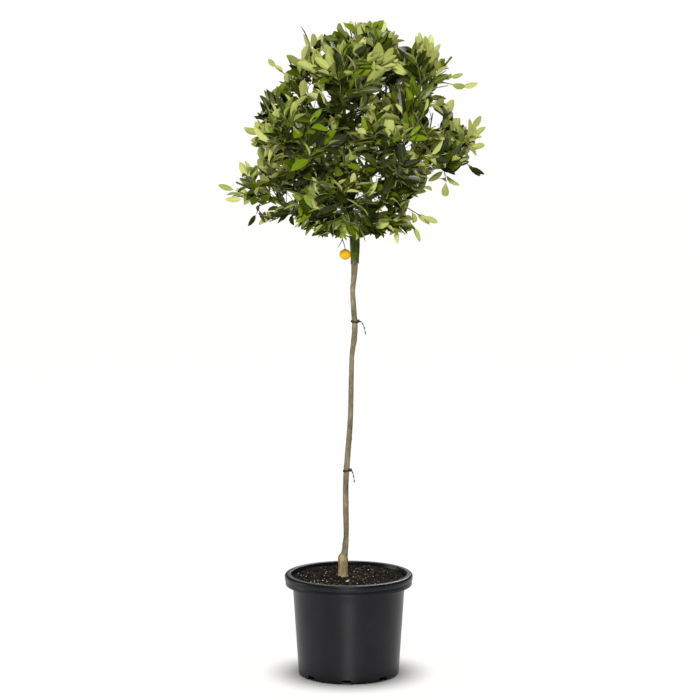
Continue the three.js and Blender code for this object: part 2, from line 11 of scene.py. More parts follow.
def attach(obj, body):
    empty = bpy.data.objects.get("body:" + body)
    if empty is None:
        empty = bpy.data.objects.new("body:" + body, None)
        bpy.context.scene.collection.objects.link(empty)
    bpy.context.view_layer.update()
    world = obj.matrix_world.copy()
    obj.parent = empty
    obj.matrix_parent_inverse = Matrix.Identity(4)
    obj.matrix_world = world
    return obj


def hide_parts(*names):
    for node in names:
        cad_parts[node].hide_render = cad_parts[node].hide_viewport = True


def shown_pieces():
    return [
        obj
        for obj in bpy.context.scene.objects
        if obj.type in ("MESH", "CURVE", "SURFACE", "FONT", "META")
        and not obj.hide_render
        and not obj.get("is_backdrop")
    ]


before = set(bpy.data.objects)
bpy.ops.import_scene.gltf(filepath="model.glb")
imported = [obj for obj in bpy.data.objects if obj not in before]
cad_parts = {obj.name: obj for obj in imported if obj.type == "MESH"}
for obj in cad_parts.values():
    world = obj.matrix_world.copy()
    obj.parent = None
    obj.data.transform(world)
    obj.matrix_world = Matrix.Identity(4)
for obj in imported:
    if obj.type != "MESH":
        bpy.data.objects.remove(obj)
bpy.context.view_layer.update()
print("frame loaded:", len(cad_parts), "nodes")

mm = 0.001
goldenAngle = math.radians(137.5)


def addObject(name, data):
    thing = bpy.data.objects.new(name, data)
    bpy.context.collection.objects.link(thing)
    return thing


# Camera: before the tree and level with its crown, looking a little down
view = {"right": 4, "front": 7000, "height": 1790, "down": 6.3, "lens": 117.15, "sensor": 36}


def makeCamera():
    lens = bpy.data.cameras.new("camera")
    lens.lens, lens.sensor_width = view["lens"], view["sensor"]
    camera = addObject("camera", lens)
    camera.location = (view["right"] * mm, -view["front"] * mm, view["height"] * mm)
    camera.rotation_euler = (math.radians(90 - view["down"]), 0, 0)
    bpy.context.scene.camera = camera


makeCamera()


def linear(hexColour):
    channels = [int(hexColour[i:i + 2], 16) / 255 for i in (1, 3, 5)]
    return [c / 12.92 if c <= 0.04045 else ((c + 0.055) / 1.055) ** 2.4 for c in channels] + [1]


# Adds a node; inputs maps a socket to a value or to the socket that feeds it
def addNode(material, kind, inputs, **settings):
    node = material.node_tree.nodes.new(kind)
    for name, value in settings.items():
        setattr(node, name, value)
    for socket, value in inputs.items():
        if isinstance(value, bpy.types.NodeSocket):
            material.node_tree.links.new(value, node.inputs[socket])
        else:
            node.inputs[socket].default_value = value
    return node


def newMaterial(name, colour, **sockets):
    material = bpy.data.materials.new(name)
    material.use_nodes = True
    shader = material.node_tree.nodes["Principled BSDF"]
    shader.inputs["Base Color"].default_value = linear(colour)
    for socket, value in sockets.items():
        shader.inputs[socket.replace("_", " ")].default_value = value
    return material, shader


# Feeds the base colour from a pattern, with the colours evenly spaced from low to high
def tint(material, shader, pattern, low, high, colours):
    ramp = addNode(material, "ShaderNodeValToRGB", {"Fac": pattern})
    steps = ramp.color_ramp.elements
    steps[0].position, steps[1].position = low, high
    steps[0].color, steps[1].color = linear(colours[0]), linear(colours[-1])
    for i, colour in enumerate(colours[1:-1], 1):
        step = steps.new(low + (high - low) * i / (len(colours) - 1))
        step.color = linear(colour)
    material.node_tree.links.new(ramp.outputs["Color"], shader.inputs["Base Color"])
    return ramp


# Raises a shader's surface by distance millimetres where the height is 1
def roughen(material, shader, height, distance, strength=1.0):
    bump = addNode(material, "ShaderNodeBump",
                   {"Height": height, "Distance": distance * mm, "Strength": strength})
    material.node_tree.links.new(bump.outputs["Normal"], shader.inputs["Normal"])


def objectPlace(material, stretch=(1, 1, 1)):
    place = addNode(material, "ShaderNodeTexCoord", {}).outputs["Object"]
    return addNode(material, "ShaderNodeMapping", {"Vector": place, "Scale": stretch}).outputs["Vector"]


# Cells or noise whose features are size millimetres across
def pattern(material, kind, place, size, **inputs):
    sockets = {"Vector": place, "Scale": 1 / (size * mm)}
    sockets.update({name.replace("_", " "): value for name, value in inputs.items()})
    return addNode(material, kind, sockets).outputs["Distance" if "Voronoi" in kind else 0]


# A mesh in metres from a bmesh in millimetres
def meshFrom(name, bm):
    bmesh.ops.scale(bm, vec=(mm, mm, mm), verts=bm.verts)
    mesh = bpy.data.meshes.new(name)
    bm.to_mesh(mesh)
    bm.free()
    return mesh


def addPiece(name, bm, materials, replaced=(), sharp=40):
    return placePiece(name, meshFrom(name, bm), materials, replaced, sharp)


# Puts a mesh into the scene as a piece of the object
def placePiece(name, mesh, materials, replaced=(), sharp=40):
    for material in materials:
        mesh.materials.append(material)
    mesh.shade_smooth()
    mesh.set_sharp_from_angle(angle=math.radians(sharp))
    piece = addObject(name, mesh)
    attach(piece, "root")
    if replaced:
        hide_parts(*replaced)
    return piece


# Cuts one piece with another's shape and keeps the result as its mesh
def cutPiece(piece, cutter, operation):
    modifier = piece.modifiers.new("cut", "BOOLEAN")
    modifier.object, modifier.operation, modifier.solver = cutter, operation, "EXACT"
    graph = bpy.context.evaluated_depsgraph_get()
    mesh = bpy.data.meshes.new_from_object(piece.evaluated_get(graph))
    piece.modifiers.clear()
    piece.data = mesh
    bpy.data.objects.remove(cutter)


def toolFrom(bm):
    bmesh.ops.recalc_face_normals(bm, faces=bm.faces)
    return addObject("tool", meshFrom("tool", bm))


# The edges of some corners, each once and in the same order every run
def edgesOf(verts):
    return list(dict.fromkeys(edge for vert in verts for edge in vert.link_edges))


def roundEdges(bm, edges, offset, segments):
    bmesh.ops.bevel(bm, geom=edges, offset=offset, segments=segments, profile=0.5, affect="EDGES",
                    material=-1)


# A full turn of a profile of (radius, height) round the upright axis
def turnProfile(bm, profile, steps):
    corners = [bm.verts.new((radius, 0, height)) for radius, height in profile]
    edges = [bm.edges.new(pair) for pair in zip(corners, corners[1:])]
    bmesh.ops.spin(bm, geom=corners + edges, axis=(0, 0, 1), cent=(0, 0, 0), angle=2 * math.pi,
                   steps=steps, use_merge=True)
    bmesh.ops.remove_doubles(bm, verts=bm.verts, dist=0.01)
    bmesh.ops.recalc_face_normals(bm, faces=bm.faces)


# A closed tube along points, drawn out ring by ring; level rings lie flat
def growTube(bm, points, radii, sides, level=False, material=0):
    frames, normal = [], Vector((1, 0, 0))
    last = len(points) - 1
    for i, point in enumerate(points):
        ahead = (points[min(i + 1, last)] - points[max(i - 1, 0)]).normalized()
        if level:
            ahead = Vector((0, 0, 1))
        elif i == 0:
            normal = Vector((1, 0, 0)) if abs(ahead.x) < 0.8 else Vector((0, 1, 0))
        normal = (normal - ahead * normal.dot(ahead)).normalized()
        turn = Matrix((normal, ahead.cross(normal), ahead)).transposed().to_4x4()
        frames.append(Matrix.Translation(point) @ turn @ Matrix.Diagonal((radii[i], radii[i], radii[i], 1)))
    ring = bmesh.ops.create_circle(bm, cap_ends=False, radius=1, segments=sides, matrix=frames[0])["verts"]
    edges = edgesOf(ring)
    made, faces = list(ring), [bm.faces.new(ring)]
    for before, after in zip(frames, frames[1:]):
        drawn = bmesh.ops.extrude_edge_only(bm, edges=edges)["geom"]
        ring = [g for g in drawn if isinstance(g, bmesh.types.BMVert)]
        edges = [g for g in drawn if isinstance(g, bmesh.types.BMEdge)]
        faces += [g for g in drawn if isinstance(g, bmesh.types.BMFace)]
        bmesh.ops.transform(bm, matrix=after @ before.inverted(), verts=ring)
        made += ring
    faces += bmesh.ops.contextual_create(bm, geom=edges)["faces"]
    bmesh.ops.recalc_face_normals(bm, faces=faces)
    for face in faces:
        face.material_index = material
    return made


# One mesh from repeats of the same faces; materialOf has a material index for each face
def joinedMesh(name, spots, faces, count, each, materialOf):
    sizes = [len(face) for face in faces]
    corners = np.concatenate([np.array(face) for face in faces])
    loops = (corners[None, :] + each * np.arange(count)[:, None]).ravel()
    starts = np.concatenate([[0], np.cumsum(sizes)[:-1]])
    starts = (starts[None, :] + sum(sizes) * np.arange(count)[:, None]).ravel()
    mesh = bpy.data.meshes.new(name)
    mesh.vertices.add(len(spots))
    mesh.vertices.foreach_set("co", (spots * mm).astype(np.float32).ravel())
    mesh.loops.add(len(loops))
    mesh.loops.foreach_set("vertex_index", loops.astype(np.int32))
    mesh.polygons.add(len(starts))
    mesh.polygons.foreach_set("loop_start", starts.astype(np.int32))
    mesh.polygons.foreach_set("material_index", np.asarray(materialOf, np.int32).ravel())
    mesh.update(calc_edges=True)
    mesh.validate()
    return mesh


def arc(radius, height, size, start, stop, steps):
    angles = [math.radians(start + (stop - start) * i / steps) for i in range(steps + 1)]
    return [(radius + size * math.cos(a), height + size * math.sin(a)) for a in angles]


def lerp(a, b, share):
    return a + (b - a) * share


# A point on the curve with a start, a knee and an end
def curvePoint(curve, t):
    return curve[0] * (1 - t) ** 2 + curve[1] * (2 * t * (1 - t)) + curve[2] * t ** 2


# The same seeded numbers as the part's source
def seededRandom(seed):
    state = [seed & 0xFFFFFFFF]

    def draw():
        state[0] = (state[0] + 0x6D2B79F5) & 0xFFFFFFFF
        t = ((state[0] ^ (state[0] >> 15)) * (1 | state[0])) & 0xFFFFFFFF
        t = ((t + (((t ^ (t >> 7)) * (61 | t)) & 0xFFFFFFFF)) ^ t) & 0xFFFFFFFF
        return ((t ^ (t >> 14)) & 0xFFFFFFFF) / 4294967296

    return draw


# Pot: injection-moulded polypropylene with a satin skin, slightly dusty, soft wide highlights
pot = {
    "height": 316, "wall": 3, "footRadius": 150, "bottomRadius": 157.5, "cornerHeight": 8,
    "shoulderRadius": 176, "shoulderHeight": 300, "rimRadius": 200, "skirtHeight": 282,
    "grooveHeight": 297, "beadProud": 2.4, "steps": 128,
    "slots": 8, "slotWidth": 30, "slotHeight": 13, "slotDepth": 26, "slotTurn": -2.5,
    "colours": ["#0c0d11", "#111217", "#16171c"], "roughness": (0.27, 0.4),
}


def innerRadius(height):
    share = (height - pot["cornerHeight"]) / (pot["shoulderHeight"] - pot["cornerHeight"])
    return lerp(pot["bottomRadius"], pot["shoulderRadius"], share) - pot["wall"]


def potMaterial():
    material, shader = newMaterial("polypropyleneMoulded", pot["colours"][1], Roughness=0.33, IOR=1.49,
                                   Specular_IOR_Level=0.24)
    place = objectPlace(material)
    dust = pattern(material, "ShaderNodeTexNoise", place, 70, Detail=6, Roughness=0.6)
    tint(material, shader, dust, 0.3, 0.72, pot["colours"])
    scuff = pattern(material, "ShaderNodeTexNoise", objectPlace(material, (1, 1, 0.12)), 9, Detail=4)
    smooth, rough = pot["roughness"]
    shine = addNode(material, "ShaderNodeMapRange", {"Value": scuff, "To Min": smooth, "To Max": rough})
    material.node_tree.links.new(shine.outputs[0], shader.inputs["Roughness"])
    # The mould's spark-eroded skin, drawn coarser than its real 0.1 mm so that it shows
    grain = pattern(material, "ShaderNodeTexNoise", place, 1.6, Detail=2)
    roughen(material, shader, grain, 0.06, 0.5)
    return material


# The pot's wall in one line: under the foot, up the outside, over the rim and down the inside
def potProfile():
    wall, rim, height, corner = pot["wall"], pot["rimRadius"], pot["height"], 8.6
    shoulder, top = pot["shoulderRadius"], pot["shoulderHeight"]
    profile = [(0, 0), (pot["footRadius"] - 6, 0)]
    profile += arc(pot["footRadius"] - 1, corner, corner, -90, -2, 6)
    profile += [(lerp(pot["bottomRadius"], shoulder, share), lerp(9, top - 4, share))
                for share in (0.04, 0.2, 0.4, 0.6, 0.8, 0.955)]
    profile += [(shoulder + 1.2, top - 7), (shoulder + 1.4, top - 3), (shoulder + 3, top + 1)]
    profile += [(rim - wall, top + 3), (rim - wall, pot["skirtHeight"] + 1)]
    skirt, groove = rim - pot["beadProud"], pot["grooveHeight"]
    profile += arc(skirt - 1.3, pot["skirtHeight"] + 1.1, 1.1, -170, -10, 3)
    profile += [(skirt, groove - 2.5), (skirt - 0.8, groove - 0.8), (skirt - 0.4, groove)]
    profile += [(rim - 0.7, groove + 0.7), (rim - 0.1, groove + 2), (rim, top + 4)]
    profile += arc(rim - 8, height - 8, 8, 6, 88, 8)
    profile += arc(shoulder + wall + 4, height - 4, 4, 92, 178, 5)
    profile += [(innerRadius(level), level) for level in (top - 4, 200, 100, 30, 9)]
    return profile + [(pot["footRadius"] - 4, wall), (0, wall)]


# Rounded bars that cut the drain slots out of the pot's foot
def slotTool():
    bm = bmesh.new()
    size = Matrix.Diagonal((pot["slotWidth"], pot["slotDepth"], pot["slotHeight"] * 2, 1))
    for i in range(pot["slots"]):
        turn = Matrix.Rotation(math.radians(pot["slotTurn"] + 360 * i / pot["slots"]), 4, "Z")
        place = turn @ Matrix.Translation((0, -pot["bottomRadius"], 0))
        box = bmesh.ops.create_cube(bm, size=1, matrix=place @ size)["verts"]
        heights = {edge: abs((edge.verts[0].co - edge.verts[1].co).normalized().z) for edge in edgesOf(box)}
        roundEdges(bm, [edge for edge, height in heights.items() if height < 0.1], 3, 2)
    return toolFrom(bm)


def makePot():
    sharp = 32
    bm = bmesh.new()
    turnProfile(bm, potProfile(), pot["steps"])
    piece = addPiece("pot_moulded", bm, [potMaterial()], ["pot"], sharp)
    cutPiece(piece, slotTool(), "DIFFERENCE")
    piece.data.set_sharp_from_angle(angle=math.radians(sharp))


makePot()
print("pot made")


# Potting mix: composted bark with perlite, matt and dark, with chips that catch the light
soil = {
    "edgeHeight": 302, "underside": 280, "rings": 46, "steps": 120, "mound": 3.5, "moundRadius": 75,
    "lump": 3, "lumpSize": 26, "backRise": 5, "seed": 11, "colours": ["#060503", "#0e0b08", "#1a1510"],
    "chips": 1700, "chipSizes": (3, 15), "chipFlat": 0.32, "chipSink": 0.06, "chipColours": {
        "barkChipDark": ["#090705", "#130f0a", "#241c14"], "barkChipRed": ["#221711", "#3e2c25", "#675048"],
        "barkChipPale": ["#22210f", "#3a381d", "#5a5633"]},
    # Of the chips, the share that is dark, and the share that is dark or red; the rest are pale
    "darkShare": 0.78, "darkOrRedShare": 0.93,
    "perlite": 190, "perliteSizes": (1.4, 4.2), "perliteFlat": 0.8, "perliteSink": 0.1,
    "perliteColours": ["#a39d88", "#c8c3b0", "#e6e3d4"],
}
# The trunk's foot: an old graft, thick, with a rounded shoulder on its left; the profile is
# height and radius
foot = {
    "right": -17.5, "back": 10, "clear": 19, "shoulder": 358, "lean": 0.08, "sides": 36,
    "profile": [(297, 19.5), (301, 18.5), (304, 17.4), (308, 16.5), (314, 15.8), (322, 15.4), (332, 15.2),
                (342, 15.3), (350, 15.6), (358, 15.6), (364, 14.6), (369, 12.8), (373, 10.4), (376, 7.6),
                (378, 4)],
    "colours": ["#463c2a", "#6b5c42", "#817050", "#9a8764"],
}


def fromFoot(x, y):
    return math.hypot(x - foot["right"], y - foot["back"])


def ground(x, y):
    mound = soil["mound"] * max(0, 1 - fromFoot(x, y) / soil["moundRadius"])
    lump = noise.fractal(Vector((x, y, 7)) / soil["lumpSize"], 0.9, 2.1, 4)
    slope = soil["backRise"] * max(0, y) / pot["shoulderRadius"]
    return soil["edgeHeight"] + mound + slope + soil["lump"] * lump


def mixMaterial(name, colours, roughness, size):
    material, shader = newMaterial(name, colours[1], Roughness=roughness, IOR=1.45, Specular_IOR_Level=0.15)
    crumbs = pattern(material, "ShaderNodeTexNoise", objectPlace(material), size, Detail=8, Roughness=0.7)
    tint(material, shader, crumbs, 0.32, 0.68, colours)
    roughen(material, shader, crumbs, 1.2)
    return material


chipCorners = np.array([(-1, -0.7, -0.6), (1, -0.9, -0.5), (0.8, 0.9, -0.6), (-0.9, 0.8, -0.5),
                        (-0.8, -0.6, 0.5), (0.7, -0.7, 0.7), (0.9, 0.6, 0.4), (-0.6, 0.7, 0.6)]) / 2
chipFaces = [(3, 2, 1, 0), (4, 5, 6, 7), (0, 1, 5, 4), (1, 2, 6, 5), (2, 3, 7, 6), (3, 0, 4, 7)]


# Many chips of one shape, each with its own frame and size, joined in one mesh
def scatterMesh(name, frames, materialOf):
    spots = np.einsum("nij,mj->nmi", frames[:, :3, :3], chipCorners) + frames[:, None, :3, 3]
    return joinedMesh(name, spots.reshape(-1, 3), chipFaces, len(frames), len(chipCorners), materialOf)


# Frames of chips strewn over the mix. Flat is their thickness, and sink how deep they lie, both as
# a share of their size.
def scatterChips(kind, count, draw):
    sizes, flat, sink = soil[kind + "Sizes"], soil[kind + "Flat"], soil[kind + "Sink"]
    frames, edge = [], innerRadius(soil["edgeHeight"] - 3)
    while len(frames) < count:
        radius, angle = edge * math.sqrt(draw()), 2 * math.pi * draw()
        size = lerp(*sizes, draw() ** 3)
        x, y = radius * math.cos(angle), radius * math.sin(angle)
        if radius > edge - size or fromFoot(x, y) < foot["clear"] + size / 2:
            continue
        turn = Matrix.Rotation(2 * math.pi * draw(), 4, "Z")
        turn = turn @ Matrix.Rotation((draw() - 0.5) * 1.3, 4, "X")
        turn = turn @ Matrix.Rotation((draw() - 0.5) * 0.9, 4, "Y")
        width, thick = lerp(0.4, 0.8, draw()), flat * lerp(0.6, 1.3, draw())
        shape = Matrix.Diagonal((size, size * width, size * thick, 1))
        place = Matrix.Translation((x, y, ground(x, y) + size * (flat * 0.5 - sink)))
        frames.append(np.array(place @ turn @ shape))
    return np.array(frames)


def makeSoil():
    edge, bottom = innerRadius(soil["edgeHeight"]) + 0.6, soil["underside"]
    profile = [(edge * i / soil["rings"], soil["edgeHeight"]) for i in range(soil["rings"] + 1)]
    bm = bmesh.new()
    turnProfile(bm, profile + [(edge - 1, bottom), (0, bottom)], soil["steps"])
    for vert in bm.verts:
        if vert.co.z > bottom:
            vert.co.z = ground(vert.co.x, vert.co.y)
    mix = mixMaterial("pottingMixDamp", soil["colours"], 0.95, 4)
    addPiece("potting_mix_surface", bm, [mix], ["potting_mix"], 80)


def makeChips():
    draw = seededRandom(soil["seed"])
    frames = scatterChips("chip", soil["chips"], draw)
    kinds = [mixMaterial(name, colours, 0.9 if name == "barkChipDark" else 0.85, 3)
             for name, colours in soil["chipColours"].items()]
    shares = [draw() for chip in frames]
    dealt = [(share >= soil["darkShare"]) + (share >= soil["darkOrRedShare"]) for share in shares]
    mesh = scatterMesh("bark_chips", frames, np.repeat(dealt, len(chipFaces)))
    placePiece("bark_chips", mesh, kinds, (), 25)
    frames = scatterChips("perlite", soil["perlite"], draw)
    mesh = scatterMesh("perlite", frames, [0] * len(chipFaces) * len(frames))
    perlite = mixMaterial("perliteExpanded", soil["perliteColours"], 0.9, 1.5)
    placePiece("perlite", mesh, [perlite], (), 80)


# The one pale curled chip that lies before the trunk
curl = {"right": -8, "front": 66, "width": 8.1, "depth": 8, "start": -100, "step": 15, "points": 11,
        "thick": 1.9, "lift": 2.2, "colours": ["#a89d72", "#cfc69c", "#e6dfc0"]}


def makeCurlChip():
    points = []
    for i in range(curl["points"]):
        angle = math.radians(curl["start"] + curl["step"] * i)
        x = curl["right"] + curl["width"] * math.cos(angle)
        y = curl["depth"] * math.sin(angle) - curl["front"]
        points.append(Vector((x, y, ground(x, y) + curl["lift"] + 0.12 * i)))
    ends = curl["points"] + 1
    radii = [curl["thick"] * math.sin(math.pi * (i + 1) / ends) + 0.3 for i in range(curl["points"])]
    bm = bmesh.new()
    growTube(bm, points, radii, 6)
    pale = mixMaterial("strippedBarkPale", curl["colours"], 0.7, 2)
    addPiece("curled_chip", bm, [pale], (), 60)


makeSoil()
makeChips()
makeCurlChip()
print("potting mix made")


# Trunk and leader: waypoints are height, distance right of the pot's centre, radius
trunk = {
    "path": [(330, -15, 11), (372, -13.5, 10.5), (430, -8, 8.2), (515, -9, 9), (600, -9, 8.8),
             (690, -3, 9), (810, 5.5, 8.2), (985, 9.5, 7.3), (1045, 16, 8.8), (1090, 19, 8.6),
             (1140, 15.5, 8.6), (1200, 12.5, 7.3), (1245, 16.5, 8.8), (1306, 19, 11)],
    "back": 10, "bow": 6, "bowStart": 304, "wave": 190, "steps": 260, "sides": 28, "seed": 5,
    "relief": 0.45, "grain": 5, "knots": 13, "knotProud": 1.3,
    "colours": ["#3a3527", "#58513c", "#6b624a", "#80775c"],
}
leader = {
    "path": [(1262, 18, 12), (1300, 19, 13), (1340, 19, 15), (1380, 17, 16), (1440, 5, 12.5),
             (1540, -16, 10), (1640, -20, 8.3), (1720, 0, 6.8), (1800, 28, 5)],
    "steps": 110, "sides": 24, "relief": 0.5, "grain": 6,
    "colours": ["#1b2204", "#343f06", "#4b590e", "#66731c"],
}
# The top graft, where the trunk ends in a wedge that the green stem sits on
graft = {"height": 1300, "slope": 1.4, "right": 19, "reach": 60, "bottom": 250}


# The stem also bows to and fro seen from the side, less and less towards its top
def waypoint(height, right):
    bow = trunk["bow"] * math.sin((height - trunk["bowStart"]) / trunk["wave"])
    back = (trunk["back"] + bow) * min(max((2200 - height) / 1800, 0), 1)
    return Vector((right, back, height))


# The stretches between waypoints, and how far along each, at even steps
def evenSteps(steps, waypoints):
    for i in range(steps + 1):
        place = i / steps * (waypoints - 1)
        k = min(int(place), waypoints - 2)
        yield k, place - k


# A smooth curve through points
def smoothLine(points, steps):
    spots = [Vector(point) for point in points]
    spots = [spots[0] * 2 - spots[1], *spots, spots[-1] * 2 - spots[-2]]
    line = []
    for k, t in evenSteps(steps, len(points)):
        p0, p1, p2, p3 = spots[k:k + 4]
        m1, m2 = (p2 - p0) / 2, (p3 - p1) / 2
        quadratic = (p1 * -3 + p2 * 3 - m1 * 2 - m2) * t ** 2
        line.append(p1 + m1 * t + quadratic + (p1 * 2 - p2 * 2 + m1 + m2) * t ** 3)
    return line


# Points and radii along a stem, through its waypoints
def stemLine(path, steps):
    radii = [lerp(path[k][2], path[k + 1][2], t) for k, t in evenSteps(steps, len(path))]
    return smoothLine([waypoint(height, right) for height, right, radius in path], steps), radii


# Bark: a young citrus stem, thin and smooth, with fine upright wrinkles and pale breathing pores
def barkMaterial(name, colours, wrinkle, specks):
    material, shader = newMaterial(name, colours[1], Roughness=0.78, IOR=1.45, Specular_IOR_Level=0.25)
    upright = objectPlace(material, (1, 1, 0.16))
    wrinkles = pattern(material, "ShaderNodeTexNoise", upright, wrinkle, Detail=7, Roughness=0.62)
    blotches = pattern(material, "ShaderNodeTexNoise", objectPlace(material, (1, 1, 0.45)), 22, Detail=4)
    mixed = addNode(material, "ShaderNodeMath", {0: wrinkles, 1: blotches}, operation="ADD")
    halved = addNode(material, "ShaderNodeMath", {0: mixed.outputs[0], 1: 0.5}, operation="MULTIPLY")
    ramp = tint(material, shader, halved.outputs[0], 0.36, 0.64, colours)
    pores = pattern(material, "ShaderNodeTexVoronoi", objectPlace(material, (1, 1, 0.5)), 3.4)
    spots = addNode(material, "ShaderNodeMapRange",
                    {"Value": pores, "From Min": 0.12, "From Max": 0.22, "To Min": 0.55, "To Max": 0.0})
    inputs = {0: spots.outputs[0], 6: ramp.outputs["Color"], 7: linear(specks)}
    blend = addNode(material, "ShaderNodeMix", inputs, data_type="RGBA")
    material.node_tree.links.new(blend.outputs[2], shader.inputs["Base Color"])
    roughen(material, shader, wrinkles, 0.7)
    return material


trunkBark = barkMaterial("citrusBarkGreyOlive", trunk["colours"], 2.2, "#958b73")
footBark = barkMaterial("citrusBarkBrown", foot["colours"], 2.2, "#a8977a")
greenBark = barkMaterial("citrusBarkGreen", leader["colours"], 2.6, "#707a38")


# Moves a stem's skin in and out: long wrinkles, and swellings where side shoots were rubbed off
def raiseBark(bm, verts, relief, grain, knots=(), proud=0):
    bm.normal_update()
    moves = []
    for vert in verts:
        spot = vert.co
        wrinkle = noise.fractal(Vector((spot.x, spot.y, spot.z * 0.22)) / grain, 0.8, 2.2, 3)
        swell = sum(math.exp(-((spot - knot) / 6).length_squared) for knot in knots)
        moves.append(vert.normal * (relief * wrinkle + proud * swell))
    for vert, move in zip(verts, moves):
        vert.co += move


# The wedge that the trunk's top is cut to, seen from the front
def wedgeTool(lift):
    half, top, bottom = graft["reach"], graft["height"] + lift, graft["bottom"]
    side = top - half * graft["slope"]
    outline = [(0, top), (-half, side), (-half, bottom), (half, bottom), (half, side)]
    bm = bmesh.new()
    face = bm.faces.new([bm.verts.new((graft["right"] + x, -half, z)) for x, z in outline])
    drawn = bmesh.ops.extrude_face_region(bm, geom=[face])["geom"]
    behind = [part for part in drawn if isinstance(part, bmesh.types.BMVert)]
    bmesh.ops.translate(bm, vec=(0, half * 2, 0), verts=behind)
    return toolFrom(bm)


def makeTrunk():
    draw = seededRandom(trunk["seed"])
    points, radii = stemLine(trunk["path"], trunk["steps"])
    knots = []
    for i in range(trunk["knots"]):
        k = int(lerp(14, trunk["steps"] - 20, (i + 0.6 * draw()) / trunk["knots"]))
        angle = goldenAngle * i + draw()
        knots.append(points[k] + Vector((math.cos(angle), math.sin(angle), 0)) * radii[k])
    bm = bmesh.new()
    verts = growTube(bm, points, radii, trunk["sides"], True)
    raiseBark(bm, verts, trunk["relief"], trunk["grain"], knots, trunk["knotProud"])
    tool = wedgeTool(0)
    piece = addPiece("bark_trunk", bm, [trunkBark], ["trunk"], 50)
    cutPiece(piece, tool, "INTERSECT")


def makeFoot():
    heights, radii = zip(*foot["profile"])
    left = [foot["right"] - max(0, height - foot["shoulder"]) * foot["lean"] for height in heights]
    centres = [Vector((x, foot["back"], height)) for x, height in zip(left, heights)]
    bm = bmesh.new()
    growTube(bm, centres, radii, foot["sides"], True)
    bmesh.ops.subdivide_edges(bm, edges=bm.edges, cuts=1, use_grid_fill=True)
    raiseBark(bm, bm.verts, 0.9, 6)
    addPiece("bark_foot", bm, [footBark], (), 60)


def makeLeader():
    points, radii = stemLine(leader["path"], leader["steps"])
    bm = bmesh.new()
    verts = growTube(bm, points, radii, leader["sides"], True)
    raiseBark(bm, verts, leader["relief"], leader["grain"])
    tool = wedgeTool(0.5)
    piece = addPiece("bark_leader", bm, [greenBark], ["leader"], 50)
    cutPiece(piece, tool, "DIFFERENCE")


makeTrunk()
makeFoot()
makeLeader()
print("trunk and leader made")


# Ties: soft black chain-lock straps round the trunk, each with a beaded tail. A tie has its
# height, how far its tail reaches from the lock, and how far its loop rises to the right.
tie = {"proud": 1.4, "thick": 1.6, "bead": (1.8, 2.6, 4.2), "beadEvery": 5.4,
       "lock": (8, 8, 10), "lockRound": 1.6,
       "tailThick": 1, "tailSteps": 24, "tailBead": (2.1, 2.1, 4.6), "tailBeads": 4,
       "at": {"tie_upper": (1105, (21, -6, -43), -0.12), "tie_lower": (638, (11, -8, -40), 0.15)},
       "colours": ["#0c0908", "#16110e", "#241d18"]}


def addBead(bm, spot, turn, size):
    place = Matrix.Translation(spot) @ turn @ Matrix.Diagonal((*size, 1))
    bmesh.ops.create_icosphere(bm, subdivisions=2, radius=1, matrix=place)


def makeTie(name, height, tail, tilt):
    points, radii = stemLine(trunk["path"], len(trunk["path"]) * 2 - 2)
    k = min(range(len(points)), key=lambda i: abs(points[i].z - height))
    centre, radius = Vector((points[k].x, points[k].y, height)), radii[k] + tie["proud"]
    bm = bmesh.new()
    beads = int(2 * math.pi * radius / tie["beadEvery"])
    turns = [2 * math.pi * i / (beads * 3) for i in range(beads * 3 + 1)]
    loop = [centre + Vector((math.cos(a), math.sin(a), tilt * math.cos(a))) * radius for a in turns]
    growTube(bm, loop, [tie["thick"]] * len(loop), 8)
    for angle, spot in list(zip(turns, loop))[:-1:3]:
        addBead(bm, spot, Matrix.Rotation(angle, 4, "Z"), tie["bead"])
    start = centre + Vector((radius + 3, -4, 3))
    end = start + Vector(tail)
    knee = Vector((end.x - 3, (start.y + end.y) / 2, start.z - 4))
    steps = tie["tailSteps"]
    line = [curvePoint((start, knee, end), i / steps) for i in range(steps + 1)]
    growTube(bm, line, [tie["tailThick"]] * len(line), 7)
    for i in range(tie["tailBeads"]):
        k = round(steps * (i + 0.8) / tie["tailBeads"] - 1)
        turn = (line[k + 1] - line[k - 1]).to_track_quat("Z", "Y").to_matrix().to_4x4()
        addBead(bm, line[k], turn, tie["tailBead"])
    lock = Matrix.Translation(centre + Vector((radius + 2, -3, 2))) @ Matrix.Diagonal((*tie["lock"], 1))
    box = bmesh.ops.create_cube(bm, size=1, matrix=lock)["verts"]
    roundEdges(bm, edgesOf(box), tie["lockRound"], 3)
    addPiece(name + "_chain", bm, [tieVinyl], [name], 45)


# Vinyl, moulded soft: nearly black, with a dull shine and a little dust
def tieMaterial():
    material, shader = newMaterial("vinylMouldedSoft", tie["colours"][1], Roughness=0.5, IOR=1.52,
                                   Specular_IOR_Level=0.3)
    dust = pattern(material, "ShaderNodeTexNoise", objectPlace(material), 3, Detail=4)
    tint(material, shader, dust, 0.35, 0.7, tie["colours"])
    roughen(material, shader, dust, 0.15)
    return material


tieVinyl = tieMaterial()
for tieName, place in tie["at"].items():
    makeTie(tieName, *place)
print("ties made")


